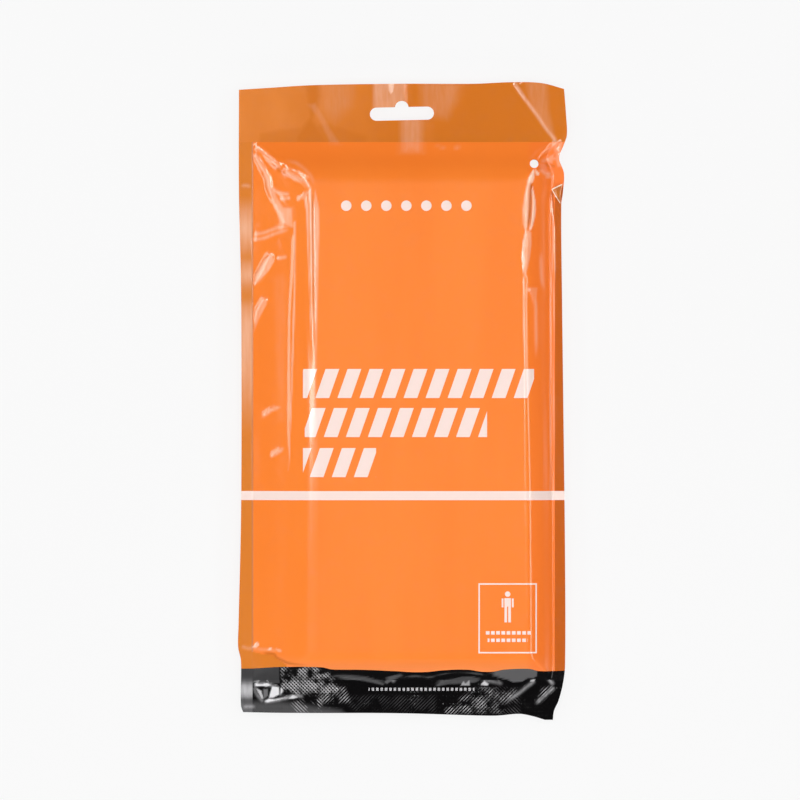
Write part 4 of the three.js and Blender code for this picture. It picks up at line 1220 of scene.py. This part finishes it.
def flap_material():
    """Browner weld of the folded-over corner, with a painted highlight along its cut edge."""
    nodes = Finish("flap_film")
    tone = nodes.grain("flap tone")
    # Painted highlight along the cut edge
    rim = nodes.step(nodes.tone("pale"), *FLAP_EDGE_TURN)
    nodes.surface(
        Base_Color=nodes.mix(rim, nodes.mix(tone, FLAP_LIGHT, FLAP_DARK), FLAP_EDGE_HIGHLIGHT),
        Roughness=nodes.math("MULTIPLY_ADD", tone, *FLAP_ROUGHNESS),
    )
    nodes.bump(nodes.noise(FLAP_BUMP.length), FLAP_BUMP)
    return nodes.material


def floor_material():
    """A pale floor that glows a little, so that it stays even under the lights."""
    nodes = Finish("pale_floor")
    nodes.surface(
        Base_Color=nodes.mix(nodes.grain("floor tone"), (FLOOR["dark"],) * 3, (FLOOR["light"],) * 3),
        Roughness=1.0,
        Specular_IOR_Level=0.0,
        Emission_Color=(1.0, 1.0, 1.0, 1.0),
        Emission_Strength=FLOOR["glow"],
    )
    return nodes.material


# Operators


def front_surface(x, y, settings):
    """Outer side of the front film and its tones."""
    share = climb(x, y)
    height, tones = relief(x, y, settings.fold_depth)
    weld = weld_height(x, y) + settings.film / MM
    return weld * (1 - share) + BAG_TOP * share + crown(x, y) + height, tones


def film_over(name, x, y, settings, films=1):
    """A closed sheet of one film or more under the pouch's outer surface."""
    high, tones = front_surface(x, y, settings)
    return closed_sheet(name, x, y, under(high, x, y, films * settings.film / MM), high, tones)


class POUCH_OT_header(bpy.types.Operator):
    """Make the header strip, both films welded flat, with its punched hang slot"""

    bl_idname = "pouch.header"
    bl_label = "Header Strip"

    def execute(self, context):
        settings = context.scene.pouch
        piece = film_over("header_strip", *strip_places(HEADER_LINE, TOP_EDGE), settings, films=2)
        punch(piece, slot_outline())
        nodes = Finish("header_film")
        finish_mesh(piece, film_finish(nodes, header_colour(nodes, settings), ORANGE_FINISH))
        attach(piece, "root")
        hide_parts("header")
        return {"FINISHED"}


class POUCH_OT_front(bpy.types.Operator):
    """Make the printed front film with its folds, welds and vent hole, and its folded-over corner"""

    bl_idname = "pouch.front"
    bl_label = "Front Film"

    def execute(self, context):
        settings = context.scene.pouch
        piece = film_over("front_sheet", *film_places(FILM_COLUMNS, FILM_ROWS), settings)
        punch(piece, vent_outline())
        nodes = Finish("front_print")
        colour, seam = front_colour(nodes, settings, printed=True)
        finish_mesh(piece, film_finish(nodes, colour, ORANGE_FINISH, seam))
        flap = self.flap(settings)
        for each in (piece, flap):
            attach(each, "root")
        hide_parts("front_film")
        return {"FINISHED"}

    def flap(self, settings):
        """The corner of the weld that is folded over, a small leaf of film just above it."""
        outline = np.array(FLAP_OUTLINE)
        middle = outline.mean(axis=0)
        rings = [middle + (outline - middle) * share for share in FLAP["rings"]]
        x, y = np.concatenate((*rings, middle[None])).T
        base, _ = front_surface(x, y, settings)
        base += FLAP["gap"] + FLAP["lift"] * np.linspace(1, FLAP["droop"], len(x))
        count = len(x)
        sides = len(outline)
        levels = (base, base + FLAP["film"])
        points = np.concatenate([np.stack((x, y, level), axis=-1) for level in levels]) * MM
        last = (len(rings) - 1) * sides
        faces = []
        walls = []
        for side in range(sides):
            after = (side + 1) % sides
            for near in range(0, last, sides):
                far = near + sides
                faces.append((near + side, near + after, far + after, far + side))
            faces.append((last + side, last + after, count - 1))
            walls.append((side, after, after + count, side + count))
        tops = [tuple(corner + count for corner in face) for face in faces]
        bottoms = [face[::-1] for face in faces]
        flap = linked("weld_flap", points.tolist(), tops + bottoms + walls)
        rim = np.zeros(2 * count, "f")
        rim[:sides] = rim[count:count + sides] = FLAP["rim"]
        flap.data.attributes.new("pale", "FLOAT", "POINT").data.foreach_set("value", rim)
        turn_outwards(flap)
        finish_mesh(flap, flap_material())
        return flap


class POUCH_OT_back(bpy.types.Operator):
    """Make the back film, flat under the bag and rising to the welds"""

    bl_idname = "pouch.back"
    bl_label = "Back Film"

    def execute(self, context):
        settings = context.scene.pouch
        film = settings.film / MM
        x, y = film_places(BACK_COLUMNS, BACK_ROWS)
        height, _ = relief(x, y, settings.fold_depth)
        welded = 1 - climb(x, y)
        inner = (weld_height(x, y) + height) * welded + film * (1 - welded)
        outer = np.maximum(0, under(inner, x, y, film))
        piece = closed_sheet("back_sheet", x, y, outer, inner, {})
        punch(piece, vent_outline())
        nodes = Finish("back_print")
        colour, seam = front_colour(nodes, settings, printed=False)
        finish_mesh(piece, film_finish(nodes, colour, ORANGE_FINISH, seam))
        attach(piece, "root")
        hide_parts("back_film")
        return {"FINISHED"}


class POUCH_OT_foot(bpy.types.Operator):
    """Make the black foot strip with its folds, and the crimp of small diamonds on it"""

    bl_idname = "pouch.foot"
    bl_label = "Crimped Foot"

    def execute(self, context):
        settings = context.scene.pouch
        piece = film_over("foot_strip", *strip_places(FOOT_LINE, BOTTOM_EDGE), settings, films=2)
        nodes = Finish("foot_film")
        material = film_finish(nodes, foot_colour(nodes, settings), BLACK_FINISH)
        finish_mesh(piece, material)
        knurl = self.knurl(piece, material)
        for each in (piece, knurl):
            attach(each, "root")
        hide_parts("foot_seal")
        return {"FINISHED"}

    def knurl(self, strip, material):
        """Small raised diamonds set on the strip's upper side by Geometry Nodes."""
        piece = bpy.data.objects.new("foot_knurl", strip.data.copy())
        bpy.context.scene.collection.objects.link(piece)
        tree = knurl_tree(material)
        modifier = piece.modifiers.new("Knurl", "NODES")
        modifier.node_group = tree
        low, high = (np.array(corner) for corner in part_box("foot_seal"))
        sizes = {
            "Width": high[0] - low[0],
            "Length": high[1] - low[1],
            "Pitch": CRIMP["pitch"] * MM,
            "Radius": KNURL["radius"] * MM,
            "Rise": KNURL["rise"] * MM,
            "Middle": ((low[0] + high[0]) / 2, (low[1] + high[1]) / 2, high[2] + KNURL["drop"] * MM),
        }
        for item in tree.interface.items_tree:
            if item.item_type == "SOCKET" and item.name in sizes:
                modifier[item.identifier] = sizes[item.name]
        settle(piece)
        return piece


def knurl_tree(material):
    """Geometry Nodes: a lattice of points dropped on the strip, each with a small flat diamond."""
    tree = bpy.data.node_groups.new("foot_knurl", "GeometryNodeTree")
    tree.interface.new_socket("Geometry", in_out="INPUT", socket_type="NodeSocketGeometry")
    for name in ("Width", "Length", "Pitch", "Radius", "Rise"):
        tree.interface.new_socket(name, in_out="INPUT", socket_type="NodeSocketFloat")
    tree.interface.new_socket("Middle", in_out="INPUT", socket_type="NodeSocketVector")
    tree.interface.new_socket("Geometry", in_out="OUTPUT", socket_type="NodeSocketGeometry")
    nodes = Tree(tree)
    given = nodes.add("NodeGroupInput").outputs
    strip = given["Geometry"]
    grid = nodes.add("GeometryNodeMeshGrid", {
        "Size X": given["Width"],
        "Size Y": given["Length"],
        "Vertices X": nodes.math("DIVIDE", given["Width"], given["Pitch"]),
        "Vertices Y": nodes.math("DIVIDE", given["Length"], given["Pitch"]),
    })
    lattice = {"Geometry": grid.outputs["Mesh"], "Translation": given["Middle"]}
    placed = nodes.add("GeometryNodeTransform", lattice).outputs[0]
    position = nodes.add("GeometryNodeInputPosition").outputs[0]
    drop, kept = knurl_places(nodes, strip, position)
    captured = nodes.add("GeometryNodeCaptureAttribute", domain="POINT")
    captured.capture_items.new("VECTOR", "Facing")
    captured.capture_items.new("FLOAT", "Kept")
    for name, value in (("Geometry", placed), ("Facing", drop["Hit Normal"]), ("Kept", kept)):
        nodes.feed(captured.inputs[name], value)
    moved = {"Geometry": captured.outputs["Geometry"], "Position": drop["Hit Position"]}
    points = nodes.add("GeometryNodeSetPosition", moved).outputs["Geometry"]
    for tone in (*TONES, "bloom"):
        value = nodes.add("GeometryNodeInputNamedAttribute", {"Name": tone}, data_type="FLOAT")
        nearest = nodes.add(
            "GeometryNodeSampleNearestSurface",
            {"Mesh": strip, "Value": value.outputs["Attribute"]}, data_type="FLOAT")
        stored = {"Name": tone, "Value": nearest.outputs["Value"], "Geometry": points}
        store = nodes.add("GeometryNodeStoreNamedAttribute", stored, data_type="FLOAT", domain="POINT")
        points = store.outputs["Geometry"]
    shape = {"Vertices": 4, "Radius Top": 0.0, "Radius Bottom": given["Radius"], "Depth": given["Rise"]}
    diamond = nodes.add("GeometryNodeMeshCone", shape)
    turned = nodes.add(
        "FunctionNodeAlignRotationToVector", {"Vector": captured.outputs["Facing"]}, axis="Z")
    spread = nodes.add("GeometryNodeInstanceOnPoints", {
        "Points": points,
        "Selection": captured.outputs["Kept"],
        "Instance": diamond.outputs["Mesh"],
        "Rotation": turned.outputs["Rotation"],
    })
    realised = nodes.add("GeometryNodeRealizeInstances", {"Geometry": spread.outputs["Instances"]})
    finished = {"Geometry": realised.outputs["Geometry"], "Material": material}
    made = nodes.add("GeometryNodeSetMaterial", finished).outputs["Geometry"]
    nodes.add("NodeGroupOutput", {"Geometry": made})
    return tree


def knurl_places(nodes, strip, position):
    """Where each point falls on the strip, and 1 where it keeps its diamond: off the edges and panels."""
    down = {"Target Geometry": strip, "Ray Direction": (0, 0, -1)}
    drop = nodes.add("GeometryNodeRaycast", down).outputs
    kept = drop["Is Hit"]
    for side_x, side_y in ((-1, 0), (1, 0), (0, -1)):
        offset = (side_x * KNURL["margin"] * MM, side_y * KNURL["margin"] * MM, 0)
        beside = nodes.add("ShaderNodeVectorMath", {0: position, 1: offset}, operation="ADD").outputs[0]
        ray = nodes.add("GeometryNodeRaycast", {**down, "Source Position": beside})
        kept = nodes.product(kept, ray.outputs["Is Hit"])
    split = nodes.add("ShaderNodeSeparateXYZ", {0: position}).outputs
    below = nodes.math("LESS_THAN", split[1], SMOOTH_LOW * MM)
    for left, right in SMOOTH_SPANS:
        across = nodes.math("ABSOLUTE", nodes.math("SUBTRACT", split[0], (left + right) / 2 * MM))
        outside = nodes.math("GREATER_THAN", across, (right - left) / 2 * MM)
        kept = nodes.product(kept, nodes.math("MAXIMUM", outside, below))
    return drop, kept


class POUCH_OT_bag(bpy.types.Operator):
    """Make the bag inside, one sheet folded back and forth into a slab"""

    bl_idname = "pouch.bag"
    bl_label = "Folded Bag"

    def execute(self, context):
        y, z = self.section()
        thickness = z.max() - BAG_BASE
        near_end = np.clip(1 - np.minimum(y.max() - y, y - y.min()) / BAG_CORNER["reach"], 0, 1)
        from_middle = np.abs(z - BAG_BASE - thickness / 2) / (thickness / 2)
        corner = BAG_CORNER["tuck"] * near_end ** 2
        left = BAG_SIDES["left"] + BAG_SIDES["left_tuck"] * from_middle ** 2 + corner
        right = BAG_SIDES["right"] - BAG_SIDES["right_tuck"] * from_middle ** 2 - corner
        rings = []
        for station in np.linspace(0, 1, BAG_STATIONS):
            x = left + (right - left) * station
            ripple = BAG_RIPPLE["height"] * np.sin(x * BAG_RIPPLE["across"] + z * BAG_RIPPLE["up"])
            ripple *= np.sin(y * BAG_RIPPLE["down"])
            lift = crown(x, y) * np.clip((z - BAG_BASE) / thickness, 0, 1)
            rings.append(np.stack((x, y, np.maximum(z + lift + ripple, BAG_LOWEST)), axis=-1))
        count = len(y)
        last = (len(rings) - 1) * count
        faces = []
        for near in range(0, last, count):
            for index in range(count):
                after = (index + 1) % count
                faces.append((near + index, near + after, near + count + after, near + count + index))
        for index in range(count // 2 - 1):
            across = count - 1 - index
            faces.append((index, across, across - 1, index + 1))
            faces.append((last + index, last + index + 1, last + across - 1, last + across))
        piece = linked("folded_bag_sheet", (np.concatenate(rings) * MM).tolist(), faces)
        turn_outwards(piece)
        finish_mesh(piece, bag_material(context.scene.pouch))
        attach(piece, "root")
        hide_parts("folded_bag")
        return {"FINISHED"}

    def section(self):
        """The folded sheet's outline in the YZ plane: one side out and the other side back."""
        pitch = PLIES + PLY_GAP
        radius = pitch / 2
        layers = len(BAG_REACHES) - 1
        middle = []
        for layer in range(layers):
            z = BAG_BASE + PLIES / 2 + layer * pitch
            ahead = 1 if layer % 2 == 0 else -1
            start = BAG_REACHES[layer] + (ahead * (radius + PLIES / 2) if layer else 0)
            last = layer + 1 == layers
            end = BAG_REACHES[layer + 1] - (0 if last else ahead * (radius + PLIES / 2))
            steps = round(abs(end - start) / BAG_STEP)
            middle += [(start + (end - start) * step / steps, z, ahead, 0) for step in range(steps + 1)]
            if last:
                break
            for step in range(1, BAG_TURN_STEPS):
                turn = math.pi * step / BAG_TURN_STEPS
                middle.append((
                    end + ahead * radius * math.sin(turn), z + radius * (1 - math.cos(turn)),
                    ahead * math.cos(turn), math.sin(turn),
                ))
        y, z, along_y, along_z = np.array(middle).T
        below, above = (
            np.stack((y - side * along_z * PLIES / 2, z + side * along_y * PLIES / 2))
            for side in (-1, 1)
        )
        return np.concatenate((below, above[:, ::-1]), axis=1)


class POUCH_OT_stage(bpy.types.Operator):
    """Make the pale floor, the soft studio lights and the camera above"""

    bl_idname = "pouch.stage"
    bl_label = "Stage"

    def execute(self, context):
        scene = context.scene
        scene.view_settings.view_transform = "Standard"
        scene.view_settings.look = "None"
        reach = FLOOR["reach"]
        corners = [(-reach, -reach, 0), (reach, -reach, 0), (reach, reach, 0), (-reach, reach, 0)]
        floor = linked("floor", corners, [(0, 1, 2, 3)])
        floor.data.materials.append(floor_material())
        self.world(scene)
        for row in LIGHTS:
            self.light(row, row.name, 1)
        for side, name in ((-1, "left"), (1, "right")):
            for row in SIDE_LIGHTS:
                self.light(row, f"{name}_{row.name}", side)
        self.camera(scene)
        return {"FINISHED"}

    def light(self, row, name, side):
        """One area light that looks at the pouch, mirrored to the left where side is below zero."""
        lamp = bpy.data.lights.new(name, "AREA")
        lamp.shape = "RECTANGLE"
        lamp.size, lamp.size_y = row.size
        lamp.energy = row.power
        light = bpy.data.objects.new(name, lamp)
        x, y, z = row.place
        light.location = (side * x, y, z)
        light.rotation_euler = Euler((-math.atan2(y, math.hypot(x, z)), math.atan2(side * x, z), 0), "XYZ")
        light.visible_camera = False
        light.visible_glossy = row.glossy
        light.visible_diffuse = row.diffuse
        bpy.context.scene.collection.objects.link(light)

    def world(self, scene):
        """A soft even surround, shown to the camera in the floor's own tone."""
        scene.world = bpy.data.worlds.new("surround")
        scene.world.use_nodes = True
        nodes = Tree(scene.world.node_tree)
        path = nodes.add("ShaderNodeLightPath").outputs["Is Camera Ray"]
        levels = {"Value": path, "To Min": SURROUND["light"], "To Max": SURROUND["seen"]}
        strength = nodes.add("ShaderNodeMapRange", levels)
        background = nodes.tree.nodes["Background"]
        nodes.feed(background.inputs["Strength"], strength.outputs["Result"])
        background.inputs["Color"].default_value = (1.0, 1.0, 1.0, 1.0)

    def camera(self, scene):
        lens = bpy.data.cameras.new("camera")
        camera = bpy.data.objects.new("camera", lens)
        camera.location = (PICTURE["x"] * MM, PICTURE["y"] * MM, CAMERA_HEIGHT)
        lens.sensor_fit = "HORIZONTAL"
        lens.sensor_width = SENSOR
        lens.lens = SENSOR * (CAMERA_HEIGHT - PICTURE["z"] * MM) / (PICTURE["width"] * MM)
        lens.clip_end = 30.0
        scene.collection.objects.link(camera)
        scene.camera = camera


OPERATORS = (
    POUCH_OT_bag, POUCH_OT_back, POUCH_OT_front, POUCH_OT_header, POUCH_OT_foot, POUCH_OT_stage,
)


class POUCH_PT_panel(bpy.types.Panel):
    """Lists the pouch's settings and pieces"""

    bl_idname = "POUCH_PT_panel"
    bl_label = "Film Pouch"
    bl_space_type = "VIEW_3D"
    bl_region_type = "UI"
    bl_category = "Pouch"

    def draw(self, context):
        settings = context.scene.pouch
        for name in PouchSettings.__annotations__:
            self.layout.prop(settings, name)
        for operator in OPERATORS:
            self.layout.operator(operator.bl_idname)


CLASSES = (PouchSettings, *OPERATORS, POUCH_PT_panel)


def register():
    for each in CLASSES:
        bpy.utils.register_class(each)
    bpy.types.Scene.pouch = PointerProperty(type=PouchSettings)


def unregister():
    del bpy.types.Scene.pouch
    for each in reversed(CLASSES):
        bpy.utils.unregister_class(each)


def main():
    register()
    for operator in OPERATORS:
        group, name = operator.bl_idname.split(".")
        getattr(getattr(bpy.ops, group), name)()


if __name__ == "__main__":
    main()
